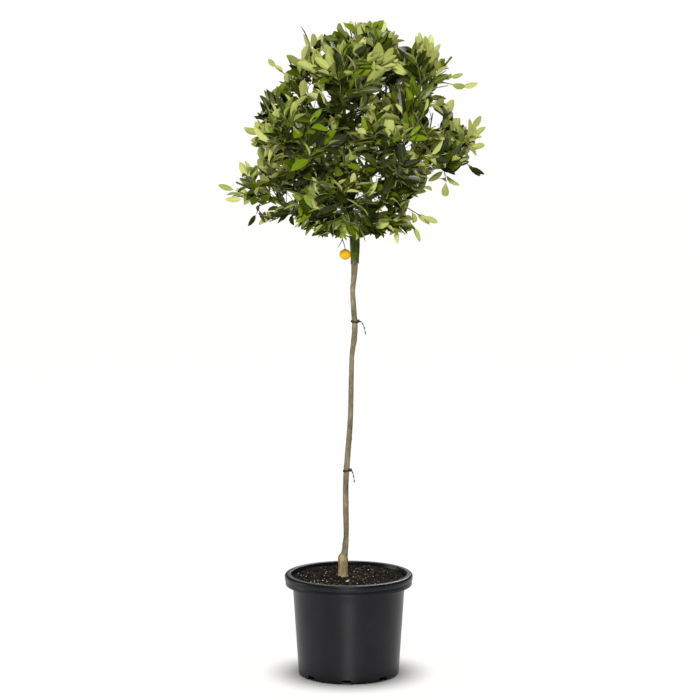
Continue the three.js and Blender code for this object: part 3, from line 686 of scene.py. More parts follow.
# Crown: the masses of the part's source, each with its own space, bough and free shoots. A shoot
# has the place of its outermost leaf tip, the leaves at its end, its side sprays, its leaves' size
# and the face they show at the front: 1 the pale underside, -1 the green upper side.
masses = [
    {"name": "top", "rise": 1, "at": (32, 0, 1912), "reach": (168, 155, 126),
     "shoots": [((112, -10, 2027), 4, 0, 1, 1), ((66, 10, 2032), 4, 0, 1, 1), ((2, -20, 2026), 4, 0, 0.9, 1),
                ((-52, -60, 2000), 5, 0, 1, 1), ((34, -80, 2006), 5, 0, 1, 1), ((122, -70, 2004), 5, 0, 1, 1),
                ((132, 5, 1905), 5, 4, 1, 1)]},
    {"name": "upper_right", "rise": 1, "at": (228, -60, 1836), "reach": (155, 155, 140), "fork": 1590,
     "shoots": [((300, -60, 1900), 4, 0, 1, 1), ((352, -60, 1858), 2, 0, 0.8, 1),
                ((394, -20, 1812), 3, 0, 1, 1), ((245, -50, 1984), 4, 2, 1, 1),
                ((206, -70, 1990), 3, 1, 1, 1)]},
    {"name": "upper_left", "rise": 0.95, "at": (-138, 40, 1828), "reach": (140, 155, 140), "fork": 1615,
     "shoots": [((-92, -60, 2019), 1, 0, 1.75, -1), ((-252, 0, 1908), 2, 0, 0.75, 1),
                ((-98, -60, 1992), 4, 0, 1.1, 1), ((-134, -112, 1938), 2, 0, 1.35, 1),
                ((-50, -75, 1996), 4, 0, 1.1, 1)]},
    {"name": "upper_front", "rise": 0.85, "at": (-10, -180, 1822), "reach": (165, 150, 142), "fork": 1640},
    {"name": "upper_back", "rise": 0.9, "at": (75, 195, 1825), "reach": (165, 150, 142), "fork": 1665},
    {"name": "middle_right", "rise": 0.95, "at": (282, 30, 1640), "reach": (135, 165, 142), "fork": 1462,
     "shoots": [((412, -70, 1640), 5, 2, 1, 1), ((405, -60, 1545), 3, 0, 1.05, -1),
                ((318, -110, 1775), 4, 1, 1, 1), ((388, -100, 1692), 5, 2, 1, 1),
                ((290, -100, 1490), 4, 0, 1.1, 1)]},
    {"name": "middle_left", "rise": 0.75, "at": (-212, 70, 1682), "reach": (118, 160, 138), "fork": 1478,
     "shoots": [((-284, -110, 1662), 5, 1, 0.95, 1), ((-270, -120, 1636), 4, 1, 1, 1),
                ((-268, -40, 1770), 3, 0, 0.8, -1)]},
    {"name": "middle_front_right", "rise": 0.6, "at": (145, -195, 1652), "reach": (165, 150, 142),
     "fork": 1496},
    {"name": "middle_front_left", "rise": 0.6, "at": (-125, -185, 1650), "reach": (165, 150, 142),
     "fork": 1514},
    {"name": "middle_back", "rise": 0.6, "at": (35, 240, 1652), "reach": (185, 140, 145), "fork": 1532},
    {"name": "lower_right", "rise": 0.55, "at": (155, -30, 1476), "reach": (140, 160, 125), "fork": 1388,
     "shoots": [((272, -40, 1402), 3, 0, 1, 1), ((222, -50, 1352), 2, 0, 1, 1),
                ((140, -60, 1348), 3, 0, 0.9, 1)]},
    {"name": "lower_left", "rise": 0.65, "at": (-245, 0, 1498), "reach": (155, 160, 125), "fork": 1402,
     "shoots": [((-404, -30, 1520), 2, 0, 1, 1), ((-378, -30, 1470), 3, 0, 1, 1),
                ((-340, -40, 1588), 3, 1, 1, 1), ((-300, -40, 1392), 3, 0, 0.9, -1)]},
    {"name": "lower_front", "rise": 0.2, "at": (-15, -165, 1464), "reach": (165, 150, 128), "fork": 1416,
     "shoots": [((2, -95, 1380), 4, 0, 1, -1), ((54, -100, 1384), 4, 0, 1.1, -1),
                ((-44, -90, 1388), 3, 0, 1, -1)]},
    {"name": "lower_back", "rise": 0.35, "at": (0, 195, 1482), "reach": (175, 150, 128), "fork": 1430},
]
# Angles are in degrees off the line that a twig or leaf grows from, and a pair of values is for a
# level mass and for a rising one
bough = {"baseRadius": 8.8, "tipRadius": 5.2, "endRadius": 3, "rise": 0.45, "kneeAt": 0.45,
         "shortest": 0.4, "overshoot": 0.4, "margin": 30, "entryMargin": 8, "steps": 70, "sides": 14,
         "collar": 0.35, "lowestFork": 1378, "slimOver": 280, "slimmest": 0.75, "relief": 0.35, "grain": 5}
twig = {"baseRadius": 2.2, "tipRadius": 1.3, "count": 13, "shortest": 40, "longest": 400,
        "lift": (0.1, 0.35), "first": 0.06, "last": 0.96, "widest": 82, "closest": 32, "margin": 26,
        "bow": 0.07, "clear": 4, "shootStart": 0.66, "shootEnd": 60, "leafy": 46, "sides": 5}
spray = {"baseRadius": 1.2, "tipRadius": 0.7, "every": 25, "shortest": 24, "longest": 84, "widest": 62,
         "closest": 34, "margin": 20, "lift": (0, 1.8), "bow": 0.08, "clear": 4,
         "stretch": (0.16, 0.94), "shootStretch": (0.5, 0.76)}
inner = {"first": 0.4, "every": 12, "deepest": 0.82, "shortest": 45, "longest": 120, "small": 0.62,
         "forward": 0.35, "bow": 0.08, "clear": 6}
leaf = {"shortest": 56, "longest": 86, "width": 0.42, "spacing": 10, "shootSpacing": 12, "clear": 2,
        "twigStart": 0.4, "sprayStart": 0.35, "openFirst": (64, 52), "openLast": (36, 22), "openEnd": (6, 16),
        "droop": (-0.4, 0.25), "fold": 0.52, "curl": 0.5, "thickness": 0.5, "midrib": 0.8, "tries": 5}

crownHeart, crownReach = Vector((20, 0, 1670)), (400, 340, 350)

for number, mass in enumerate(masses):
    mass["centre"] = Vector(mass["at"])
    mass["size"] = sum(mass["reach"]) / 3
    mass["seed"] = 102 + 37 * number
    mass.setdefault("shoots", [])
fruitSpace = {"centre": Vector((-12, -12, 1335)), "size": 42}
spaces = [*masses, fruitSpace]


# How far a point is inside the flat faces between a mass and its neighbours
def fromFaces(point, mass):
    here = (point - mass["centre"]).length_squared - mass["size"] ** 2
    least = math.inf
    for other in spaces:
        if other is not mass:
            there = (point - other["centre"]).length_squared - other["size"] ** 2
            least = min(least, (there - here) / (2 * (mass["centre"] - other["centre"]).length))
    return least


def inSpace(point, mass, margin, cut=True):
    off = point - mass["centre"]
    inside = sum((off[i] / (mass["reach"][i] - margin)) ** 2 for i in range(3)) < 1
    return inside and (not cut or fromFaces(point, mass) > margin * 0.35)


# The crown's body seen from the front: at each height, how far it reaches left and right
crownWidth = [(1356, -24, 92), (1368, -78, 130), (1382, -140, 205), (1420, -305, 200), (1460, -312, 175),
              (1500, -372, 240), (1540, -335, 268), (1579, -322, 366), (1619, -258, 388), (1659, -278, 385),
              (1698, -282, 378), (1738, -282, 322), (1777, -278, 300), (1817, -262, 330), (1856, -190, 342),
              (1896, -172, 306), (1935, -128, 268), (1974, -112, 236), (2005, -30, 124), (2028, 0, 90)]
# Its rounded outline seen from the side
crownDepth = {"middle": (15, 1685), "reach": (352, 380), "roundness": 2.15}
# Openings right through it, seen from the front: place right, height, radius
openings = [(260, 1725, 24), (285, 1815, 20), (195, 1455, 20), (120, 1450, 10), (80, 1490, 12), (30, 1490, 8),
            (-175, 1480, 9), (-275, 1455, 12), (-280, 1555, 8), (80, 1555, 8), (45, 1610, 7), (185, 1635, 6),
            (-100, 1770, 11), (-65, 1800, 8), (-80, 1930, 10), (15, 1980, 7), (190, 1960, 8)]
openingEdge = 5


def inDepth(point, slack):
    (y, z), (deep, tall) = crownDepth["middle"], crownDepth["reach"]
    off = abs(point.y - y) / (deep + slack), abs(point.z - z) / (tall + slack)
    return off[0] ** crownDepth["roundness"] + off[1] ** crownDepth["roundness"] < 1


# Where the camera sees a point in the upright plane through the pot's middle
def seenAt(point):
    nearer = view["front"] / (view["front"] + point.y)
    right, height = view["right"], view["height"]
    return (point.x - right) * nearer + right, (point.z - height) * nearer + height


# Whether a leaf from base to tip hides part of an opening
def overOpening(base, tip):
    start, end = Vector(seenAt(base)), Vector(seenAt(tip))
    way = end - start
    for x, z, size in openings:
        off = Vector((x, z)) - start
        share = min(max(off.dot(way) / way.length_squared, 0), 1)
        if (off - way * share).length < size + openingEdge:
            return True
    return False


def inCrown(point, slack=0):
    if not inDepth(point, slack):
        return False
    x, z = seenAt(point)
    for low, high in zip(crownWidth, crownWidth[1:]):
        if low[0] <= z < high[0]:
            share = (z - low[0]) / (high[0] - low[0])
            return lerp(low[1], high[1], share) - slack < x < lerp(low[2], high[2], share) + slack
    return False


# 0 at the crown's heart, 1 at its outside
def outwardness(point):
    out = point - crownHeart
    return math.sqrt(sum((out[k] / crownReach[k]) ** 2 for k in range(3)))


def inAnySpace(point):
    return any(inSpace(point, mass, 0, False) for mass in masses)


def curveHeading(curve, t):
    return ((curve[1] - curve[0]) * (1 - t) + (curve[2] - curve[1]) * t).normalized()


# A bough's curve, from its fork on the leader through the middle of its mass; the top mass has the
# leader's own end as its bough
def boughCurve(mass, leaderPoints):
    if "fork" not in mass:
        start = leaderPoints[-1]
        end = mass["centre"] + (mass["centre"] - start) * bough["overshoot"] * 2
        return start, start.lerp(end, 0.5), end
    start = min(leaderPoints, key=lambda p: abs(p.z - mass["fork"]))
    way = mass["centre"] - start
    knee = start + way * bough["kneeAt"] - Vector((0, 0, max(way.z, 0) * bough["rise"] * 0.5))
    return start, knee, mass["centre"] + way * bough["overshoot"]


# The shares of a bough's curve where it enters and leaves its mass
def crossing(mass):
    if "fork" not in mass:
        return 0, 1
    curve, enter = mass["curve"], 1 / (1 + bough["overshoot"])
    leave = enter
    while enter > bough["shortest"] and inSpace(curvePoint(curve, enter - 0.02), mass, bough["entryMargin"]):
        enter -= 0.02
    while leave < 0.99 and inSpace(curvePoint(curve, leave + 0.01), mass, bough["margin"]):
        leave += 0.01
    return enter, leave


# Boughs are slimmer the higher they fork
def makeBough(mass):
    slim = 0
    if "fork" in mass:
        slim = lerp(1, bough["slimmest"], (mass["fork"] - bough["lowestFork"]) / bough["slimOver"])
    first = bough["baseRadius"] * slim if slim else bough["tipRadius"] * 0.96
    points, radii = [], []
    for i in range(bough["steps"] + 1):
        t = mass["leave"] * i / bough["steps"]
        points.append(curvePoint(mass["curve"], t))
        inward = t / mass["enter"] if mass["enter"] else 1
        if inward < 1:
            radii.append(lerp(first, bough["tipRadius"], inward))
        else:
            beyond = (t - mass["enter"]) / (mass["leave"] - mass["enter"])
            radii.append(lerp(min(first, bough["tipRadius"]), bough["endRadius"], beyond))
        if slim:
            radii[-1] *= 1 + bough["collar"] * math.exp(-i / 3)
    mass["limb"] = (points, radii)
    bm = bmesh.new()
    verts = growTube(bm, points, radii, bough["sides"])
    raiseBark(bm, verts, bough["relief"], bough["grain"])
    replaced = ["bough_" + mass["name"]] if slim else []
    addPiece("bark_" + mass["name"], bm, [greenBark], replaced, 60)


def square(direction):
    helper = Vector((0, 0, 1)) if abs(direction.z) < 0.9 else Vector((1, 0, 0))
    return direction.cross(helper).normalized()


def turned(vector, axis, angle):
    return Matrix.Rotation(angle, 3, axis) @ vector


# How far a ray can run before its space ends; deep in the crown it may run 20 mm past the end
def room(start, direction, mass, margin, shortest, longest, slack=0):
    length = shortest
    while length < longest:
        spot = start + direction * length
        wide = -20 if outwardness(spot) < 0.8 else margin
        if not inSpace(spot, mass, wide, False) or fromFaces(spot, mass) < 2 or not inCrown(spot, slack):
            break
        length += 4
    return length


# A side shoot's heading: opening degrees off the line it grows from, turned round it
def branchHeading(along, opening, turn):
    side = turned(square(along), along, turn)
    return along * math.cos(opening) + side * math.sin(opening)


# Twigs leave the bough in a spiral, wide apart at its foot and closer to its line at its tip
def growTwigs(mass):
    draw = seededRandom(mass["seed"])
    twigs = []
    for i in range(twig["count"]):
        share = i / (twig["count"] - 1)
        t = lerp(mass["enter"], mass["leave"], lerp(twig["first"], twig["last"], share))
        start, along = curvePoint(mass["curve"], t), curveHeading(mass["curve"], t)
        opening = math.radians(lerp(twig["widest"], twig["closest"], share))
        direction = branchHeading(along, opening, goldenAngle * i + draw() * 0.7)
        direction.z += lerp(*twig["lift"], mass["rise"]) * math.sin(opening)
        direction.normalize()
        length = room(start, direction, mass, twig["margin"], twig["shortest"], twig["longest"], -30)
        length *= 0.9 + 0.12 * draw()
        twigs.append({"start": start, "end": start + direction * length, "free": False})
    for spot, fan, side, size, face in mass["shoots"]:
        tip = Vector(spot)
        start = curvePoint(mass["curve"], lerp(mass["enter"], mass["leave"], twig["shootStart"]))
        end = tip.lerp(start, twig["shootEnd"] * size / (tip - start).length)
        twigs.append({"start": start, "end": end, "free": True, "fan": fan, "side": side, "size": size,
                      "face": face})
    kept = []
    for one in twigs:
        ends = [one["start"].lerp(one["end"], share) for share in (0.5, 1)]
        clear = all(fromFaces(place, mass) > 3 and fromLimbs(place) > twig["clear"] for place in ends)
        if clear and (one["free"] or inCrown(ends[1], -20)):
            bend(one, twig["bow"], draw)
            kept.append(one)
    return kept


# Bows a twig a little and gives it four points
def bend(one, amount, draw):
    way = one["end"] - one["start"]
    side = turned(square(way), way.normalized(), 2 * math.pi * draw()) * way.length * amount
    side.z -= way.length * amount * 0.5
    one["line"] = [one["start"] + way * t + side * math.sin(math.pi * t) for t in (0, 1 / 3, 2 / 3, 1)]
    one["length"] = way.length


def linePoint(line, share):
    place = min(max(share, 0), 0.9999) * (len(line) - 1)
    k = int(place)
    return line[k].lerp(line[k + 1], place - k), (line[k + 1] - line[k]).normalized()


# Short shaded sprays straight from a bough, which fill the crown's heart; their leaves are given painted
# shade in toneOf
def growInner(mass, draw):
    sprays, t, i = [], mass["enter"] * inner["first"], 0
    while t < mass["leave"]:
        start, along = curvePoint(mass["curve"], t), curveHeading(mass["curve"], t)
        side = turned(square(along), along, goldenAngle * i + draw())
        direction = (along * inner["forward"] + side + Vector((0, 0, 0.2 * draw()))).normalized()
        end = start + direction * lerp(inner["shortest"], inner["longest"], draw())
        deep = inCrown(end, -30) and outwardness(end) < inner["deepest"]
        if deep and fromLimbs(end) > inner["clear"] and inAnySpace(end):
            child = {"start": start, "end": end, "free": False, "inner": True}
            bend(child, inner["bow"], draw)
            sprays.append(child)
        t += inner["every"] / (mass["curve"][2] - mass["curve"][0]).length
        i += 1
    return sprays


# Finer twigs on a twig, alternate in a spiral, each a spray of leaves
def growSprays(one, mass, draw):
    first, last = spray["shootStretch"] if one["free"] else spray["stretch"]
    count = one["side"] if one["free"] else max(2, int(one["length"] * (last - first) / spray["every"]))
    sprays = []
    for i in range(count):
        share = (i + 0.4 * draw()) / count
        start, along = linePoint(one["line"], lerp(first, last, share))
        opening = math.radians(lerp(spray["widest"], spray["closest"], share) * lerp(0.85, 1.15, draw()))
        direction = branchHeading(along, opening, goldenAngle * i + draw() * 0.9)
        direction.z += lerp(*spray["lift"], mass["rise"]) * math.sin(opening) * min(outwardness(start), 1)
        direction.normalize()
        longest = spray["longest"] * lerp(0.55, 1, draw()) * (0.5 if one["free"] else 1)
        length = room(start, direction, mass, spray["margin"], spray["shortest"], longest, -10)
        end = start + direction * length
        within = one["free"] or fromFaces(end, mass) > 2 and inCrown(end, -10)
        if within and fromLimbs(end) > spray["clear"]:
            child = {"start": start, "end": end, "free": one["free"], "fan": 4, "size": one.get("size", 1),
                     "face": one.get("face", 0)}
            bend(child, spray["bow"], draw)
            sprays.append(child)
    return sprays


# Whether a leaf keeps clear of the limbs and the openings, and inside the crown's outline
def leafFits(one, mass, base, middle, tip, slack):
    if min(fromLimbs(tip), fromLimbs(middle)) <= leaf["clear"]:
        return False
    if one["free"]:
        return True
    if one.get("inner"):
        return inAnySpace(tip) and inCrown(tip, -10) and not overOpening(base, tip)
    margin = -40 if outwardness(tip) < 0.97 else -6
    within = inSpace(tip, mass, margin, False) and inCrown(tip, slack) and fromFaces(tip, mass) > -30
    return within and not overOpening(base, tip)


# Which way a leaf's upper face looks, square to its axis: to the spray's tip and the light, or on a
# free shoot to the front or back
def leafUp(one, axis, along, middle, rise, backward, draw):
    if one["free"]:
        up = along * 0.5 + Vector((0, one["face"] * lerp(0.3, 1, draw()), 0.1))
        if one["fan"] == 1:
            up = Vector((1, -0.4, 0))  # the slender leaf, seen from its edge
    else:
        out = middle - crownHeart
        outward = Vector((out.x, out.y, 0)).normalized()
        up = along + Vector((0, 0, 1)) * lerp(0.9, 0, rise) - outward * backward
    up -= axis * up.dot(axis)
    if up.length < 0.2:
        up = square(axis).cross(axis)
    return turned(up.normalized(), axis, (draw() - 0.5) * (0.9 if one["free"] else 1.6))


# Leaves stand round a spray in a spiral
def growLeaves(one, mass, draw, leaves):
    free, shaded, rise = one["free"], one.get("inner", False), mass["rise"]
    if free:
        count = one["fan"]
        first = 1 - count * leaf["shootSpacing"] / one["length"]
    else:
        first = max(leaf["twigStart"], 1 - twig["leafy"] / one["length"])
        if one.get("fine"):
            first = leaf["sprayStart"]
        count = max(3, round(one["length"] * (1 - first) / leaf["spacing"]) + 1)
    tone, slack = draw(), lerp(-16, 14, draw())
    if one.get("face") == -1:
        tone = -0.7
    backward = lerp(-0.7, 1, draw()) * rise
    for i in range(count):
        last = i == count - 1
        share = i / (count - 1) if count > 1 else 1
        base, along = linePoint(one["line"], lerp(first, 1, share))
        if last:
            opening = lerp(*leaf["openEnd"], draw())
        else:
            opening = lerp(lerp(*leaf["openFirst"], rise), lerp(*leaf["openLast"], rise), share)
        opening = math.radians(opening * lerp(0.8, 1.2, draw()))
        wanted = lerp(leaf["shortest"], leaf["longest"], draw() ** 0.8) * (0.84 if last else 1)
        if free:
            wanted = twig["shootEnd"] * one["size"] * lerp(0.96 if last else 0.9, 1.04, draw())
        elif shaded:
            wanted *= inner["small"]
        for attempt in range(leaf["tries"]):
            axis = branchHeading(along, opening, goldenAngle * i + draw() * 0.8 + attempt * 1.1)
            axis.z += lerp(*leaf["droop"], rise)
            axis.normalize()
            length = wanted * (1 - 0.1 * attempt)
            tip, middle = base + axis * length, base + axis * length * 0.5
            if leafFits(one, mass, base, middle, tip, slack):
                break
        else:
            continue
        up = leafUp(one, axis, along, middle, rise, backward, draw)
        width = leaf["width"] * lerp(0.85, 1.12, draw())
        leaves["frames"].append([*axis, *up.cross(axis), *up, *base])
        width *= 0.42 if free and count == 1 else 0.68 if one.get("face") == -1 else 1
        fold = leaf["fold"] * lerp(0.4, 1.5, draw())
        curled = leaf["curl"] * lerp(-0.3, 1.5, draw()) * lerp(1.3, 0.6, rise)
        leaves["sizes"].append([length, width, fold, curled, (draw() - 0.5) * 0.5])
        # The leaf's height, how far out it sits and whether its spray is inner set the painted shade in its
        # tone
        height = (middle.z - crownHeart.z) / (2 * crownReach[2]) + 0.5
        leaves["tones"].append(toneOf(tone, draw(), outwardness(middle), height, last, shaded))


# Leaf blade: stations along it, and at each its half width, its rib's half width and how much of its
# fold it has
stations = np.array([0, 0.13, 0.27, 0.5, 0.74, 0.91, 1])
outline = np.array([0.05, 0.06, 0.66, 1, 0.8, 0.4, 0])
ribLine = np.array([1, 1, 0.9, 0.7, 0.5, 0.3, 0])
foldLine = np.array([0, 0.3, 1, 1, 0.9, 0.8, 0])


# Faces of one leaf, and the finish each has: 0 above, 1 below, 2 rib above, 3 rib below. A station
# has six points: left edge, rib left and right above, right edge, rib left and right below.
def leafFaces():
    faces, kinds = [], []
    rows = len(stations)
    for i in range(rows - 1):
        a, b = i * 6, (i + 1) * 6
        if i < rows - 2:
            faces += [(a, b, b + 1, a + 1), (a + 1, b + 1, b + 2, a + 2), (a + 2, b + 2, b + 3, a + 3),
                      (a, a + 4, b + 4, b), (a + 4, a + 5, b + 5, b + 4), (a + 5, a + 3, b + 3, b + 5)]
        else:
            faces += [(a, b, a + 1), (a + 1, b, a + 2), (a + 2, b, a + 3),
                      (a, a + 4, b), (a + 4, a + 5, b), (a + 5, a + 3, b)]
        kinds += [0, 2, 0, 1, 3, 1]
    faces += [(0, 1, 2, 3, 5, 4)]
    kinds += [1]
    return faces, kinds


# Leaves joined in one mesh. A frame has a leaf's axis, side, upper face and base; a size has its
# length, width for its length, fold, curl and twist in radians.
def leafMesh(name, frames, sizes, tones):
    frames, sizes = np.array(frames), np.array(sizes)
    axis, side, up, base = (frames[:, i:i + 3] for i in (0, 3, 6, 9))
    length, width, fold, curl, twist = sizes.T
    curl = np.where(np.abs(curl) < 0.02, 0.02, curl)
    u = stations[None, :]
    angle = curl[:, None] * u
    along = length[:, None] * np.sin(angle) / curl[:, None]
    fall = -length[:, None] * (1 - np.cos(angle)) / curl[:, None]
    centre = base[:, None, :] + along[..., None] * axis[:, None, :] + fall[..., None] * up[:, None, :]
    facing = np.sin(angle)[..., None] * axis[:, None, :] + np.cos(angle)[..., None] * up[:, None, :]
    half = (length * width / 2)[:, None] * outline[None, :]
    rib = np.minimum(leaf["midrib"] * ribLine[None, :], half * 0.6 + 0.02)
    halves = []
    for hand in (-1, 1):
        lean = fold[:, None] * foldLine[None, :] + hand * twist[:, None] * u * 0.6
        reach = hand * np.cos(lean)[..., None] * side[:, None, :] + np.sin(lean)[..., None] * facing
        halves.append((centre + half[..., None] * reach, centre + rib[..., None] * reach))
    (leftEdge, leftRib), (rightEdge, rightRib) = halves
    above = leaf["thickness"] / 2 * facing
    below = above * 1.4
    stack = [leftEdge, leftRib + above, rightRib + above, rightEdge, leftRib - below, rightRib - below]
    spots = np.stack(stack, axis=2)[:, :-1].reshape(len(frames), -1, 3)
    spots = np.concatenate([spots, centre[:, -1:, :]], axis=1)
    faces, kinds = leafFaces()
    kinds = np.array(kinds)[None, :] + 4 * np.array(tones)[:, None]
    each = (len(stations) - 1) * 6 + 1
    return joinedMesh(name, spots.reshape(-1, 3), faces, len(frames), each, kinds)


# Citrus leaf: leathery and waxed above, matt and paler below, with a pale rib. Each tone is
# above, below, rib above, rib below.
# The darker tones also serve as painted shade, dealt by toneOf to leaves low down and in the crown's heart
leafTones = [
    ("Deep", "#313a02", "#989e50", "#5a631a", "#aab068"),
    ("Dark", "#1c2301", "#8a9146", "#424a16", "#a0a660"),
    ("Mid", "#455303", "#a3a95a", "#707c26", "#b8bd7a"),
    ("Fresh", "#5d7007", "#abb064", "#889434", "#c0c484"),
    ("Young", "#728112", "#b2b66c", "#99a03e", "#c6c98c"),
]


def leafMaterials():
    materials = []
    kinds = {"Above": 0.36, "Below": 0.62, "RibAbove": 0.45, "RibBelow": 0.6}
    for tone, *colours in leafTones:
        for (kind, roughness), colour in zip(kinds.items(), colours):
            material, shader = newMaterial("citrusLeaf" + tone + kind, colour, Roughness=roughness, IOR=1.45,
                                           Specular_IOR_Level=0.3)
            veins = pattern(material, "ShaderNodeTexNoise", objectPlace(material), 3.5, Detail=3)
            roughen(material, shader, veins, 0.35, 0.6)
            materials.append(material)
    return materials


# The tones from dark to light: the value that each ends at, and its place in leafTones
toneEnds = [(0.26, 1), (0.44, 0), (0.66, 2), (0.86, 3), (math.inf, 4)]


# Which tone a leaf has: dealt to its spray at random, with painted shade that makes it darker low down,
# towards the crown's heart and on the inner sprays, and lighter at the very top and on some shoots' last
# leaves
def toneOf(tone, own, outward, height, last, shaded):
    # Painted shade: the value falls towards the crown's heart and low down
    value = -0.2 + 0.76 * tone + 0.24 * own + 0.4 * (min(outward, 1) - 0.6) + 0.08 * (height - 0.5)
    # Painted shade on the leaves of the inner sprays
    value -= 0.16 * shaded
    value += 0.8 * max(0, height - 0.9)
    if last and own > 0.6:
        value += 0.14
    return next(place for end, place in toneEnds if value < end)


# Tapering tubes, all with the same number of points, joined in one mesh
def tubeMesh(name, lines, radii, sides):
    lines, radii = np.array(lines), np.array(radii)
    count, rows = lines.shape[:2]
    ahead = np.gradient(lines, axis=1)
    ahead /= np.linalg.norm(ahead, axis=2, keepdims=True)
    helper = np.where(np.abs(ahead[..., 2:]) < 0.9, [[[0, 0, 1.0]]], [[[1.0, 0, 0]]])
    normal = np.cross(ahead, helper[:, :1])
    normal /= np.linalg.norm(normal, axis=2, keepdims=True)
    across = np.cross(ahead, normal)
    angle = 2 * np.pi * np.arange(sides) / sides
    ring = np.cos(angle)[:, None] * normal[:, :, None, :] + np.sin(angle)[:, None] * across[:, :, None, :]
    spots = (lines[:, :, None, :] + radii[..., None, None] * ring).reshape(-1, 3)
    faces = []
    for i in range(rows - 1):
        for k in range(sides):
            a, b = i * sides + k, i * sides + (k + 1) % sides
            faces.append((a, b, b + sides, a + sides))
    faces += [tuple(range(sides))[::-1], tuple((rows - 1) * sides + k for k in range(sides))]
    return joinedMesh(name, spots, faces, count, rows * sides, [0] * len(faces) * count)


leaderLine = stemLine(leader["path"], leader["steps"])
for mass in masses:
    mass["curve"] = boughCurve(mass, leaderLine[0])
    mass["enter"], mass["leave"] = crossing(mass)
    makeBough(mass)

limbs = [leaderLine] + [mass["limb"] for mass in masses]
limbTree = kdtree.KDTree(sum(len(points) for points, radii in limbs))
limbRadii = []
for points, radii in limbs:
    for point, radius in zip(points, radii):
        limbTree.insert(point, len(limbRadii))
        limbRadii.append(radius)
limbTree.balance()


def fromLimbs(point):
    place, index, distance = limbTree.find(point)
    return distance - limbRadii[index]


print("boughs made")

youngBark = barkMaterial("citrusTwigGreen", ["#37421a", "#4d5a24", "#66713a", "#7f8656"], 2, "#7d8350")
leafFinishes = leafMaterials()


# The twigs, sprays and leaves of one mass
def makeFoliage(mass):
    draw = seededRandom(mass["seed"] + 5)
    twigs = growTwigs(mass)
    sprays = [child for one in twigs for child in growSprays(one, mass, draw)]
    sprays += growInner(mass, draw)
    for one in sprays:
        one["fine"] = True
    leaves = {"frames": [], "sizes": [], "tones": []}
    for one in twigs + sprays:
        growLeaves(one, mass, draw, leaves)
    lines = [[list(place) for place in one["line"]] for one in twigs + sprays]
    radii = [np.linspace(kind["baseRadius"], kind["tipRadius"], 4)
             for kind in [twig] * len(twigs) + [spray] * len(sprays)]
    name, node = mass["name"], "foliage_" + mass["name"]
    mesh = tubeMesh("twigs_" + name, lines, radii, twig["sides"])
    placePiece("twigs_" + name, mesh, [youngBark], [node], 80)
    mesh = leafMesh("leaves_" + name, **leaves)
    placePiece("leaves_" + name, mesh, leafFinishes, [node], 50)
    return len(leaves["tones"])


print("crown made:", sum(makeFoliage(mass) for mass in masses), "leaves")


# Fruit: one ripe small orange on a hanging stalk, with a dry spur and two small leaves
fruit = {"radius": 17.5, "at": (-11, -12, 1314), "flat": 0.94, "dimple": 1.6, "pore": 1.5,
         "colours": ["#c48600", "#cd9600", "#d8a406"],
         "stalk": [(12, 4, 1360), (-10, -7, 1372), (-19, -12, 1362), (-14, -12, 1345), (-11, -12, 1330)],
         "stalkSteps": 28, "spur": (-36, -16, 1336), "spurSteps": 10, "sag": 6,
         "spurColours": ["#2a2118", "#3d3224", "#54472f", "#6b5d40"],
         "leafLength": 43, "leafWays": [(-0.75, -0.6, 0.1), (-0.5, 0.8, 0.15)], "leafTones": [2, 0]}


# Orange rind: oil glands a millimetre or two apart give a pored skin with a waxy shine
def rindMaterial():
    material, shader = newMaterial("orangeRindWaxy", fruit["colours"][1], Roughness=0.45, IOR=1.4,
                                   Specular_IOR_Level=0.3)
    place = objectPlace(material)
    blush = pattern(material, "ShaderNodeTexNoise", place, 20, Detail=3)
    tint(material, shader, blush, 0.3, 0.7, fruit["colours"])
    pores = pattern(material, "ShaderNodeTexVoronoi", place, fruit["pore"])
    roughen(material, shader, pores, 0.5, 0.8)
    return material


def makeOrange():
    bm = bmesh.new()
    place = Matrix.Translation(fruit["at"]) @ Matrix.Diagonal((1, 1, fruit["flat"], 1))
    ball = bmesh.ops.create_icosphere(bm, subdivisions=5, radius=fruit["radius"], matrix=place)["verts"]
    for vert in ball:
        vert.co.z -= fruit["dimple"] * math.exp(-((vert.co - fruitTop).length / 5) ** 2)
    addPiece("orange", bm, [rindMaterial()], ["fruiting_twig"], 60)


# The stalk with the calyx at its end, and the dry spur beside it
def makeStalk():
    bm = bmesh.new()
    steps = fruit["stalkSteps"]
    growTube(bm, smoothLine(fruit["stalk"], steps), [lerp(2, 1.1, i / steps) for i in range(steps + 1)], 10)
    place = Matrix.Translation(fruitTop + Vector((0, 0, 0.2)))
    calyx = bmesh.ops.create_cone(bm, cap_ends=True, segments=5, radius1=4.2, radius2=1.2, depth=2.4,
                                  matrix=place)["verts"]
    roundEdges(bm, edgesOf(calyx), 0.4, 2)
    fork, spur, steps = Vector(fruit["stalk"][2]), Vector(fruit["spur"]), fruit["spurSteps"]
    dry = smoothLine([fork, fork.lerp(spur, 0.6) - Vector((0, 0, fruit["sag"])), spur], steps)
    growTube(bm, dry, [lerp(1.3, 0.5, i / steps) for i in range(steps + 1)], 7, False, 1)
    deadWood = barkMaterial("dryTwigWood", fruit["spurColours"], 1.5, "#7a6b4c")
    addPiece("fruit_stalk", bm, [youngBark, deadWood], (), 60)


def makeFruitLeaves():
    frames, sizes = [], []
    for way in fruit["leafWays"]:
        axis = Vector(way).normalized()
        up = (Vector((0, 0, 1)) - axis * axis.z).normalized()
        frames.append([*axis, *up.cross(axis), *up, *fruit["stalk"][1]])
        sizes.append([fruit["leafLength"], 0.45, 0.3, 0.6, 0])
    mesh = leafMesh("leaves_fruit", frames, sizes, fruit["leafTones"])
    placePiece("leaves_fruit", mesh, leafFinishes, (), 50)


fruitTop = Vector(fruit["at"]) + Vector((0, 0, fruit["radius"] * fruit["flat"]))
makeOrange()
makeStalk()
makeFruitLeaves()
print("fruit made")


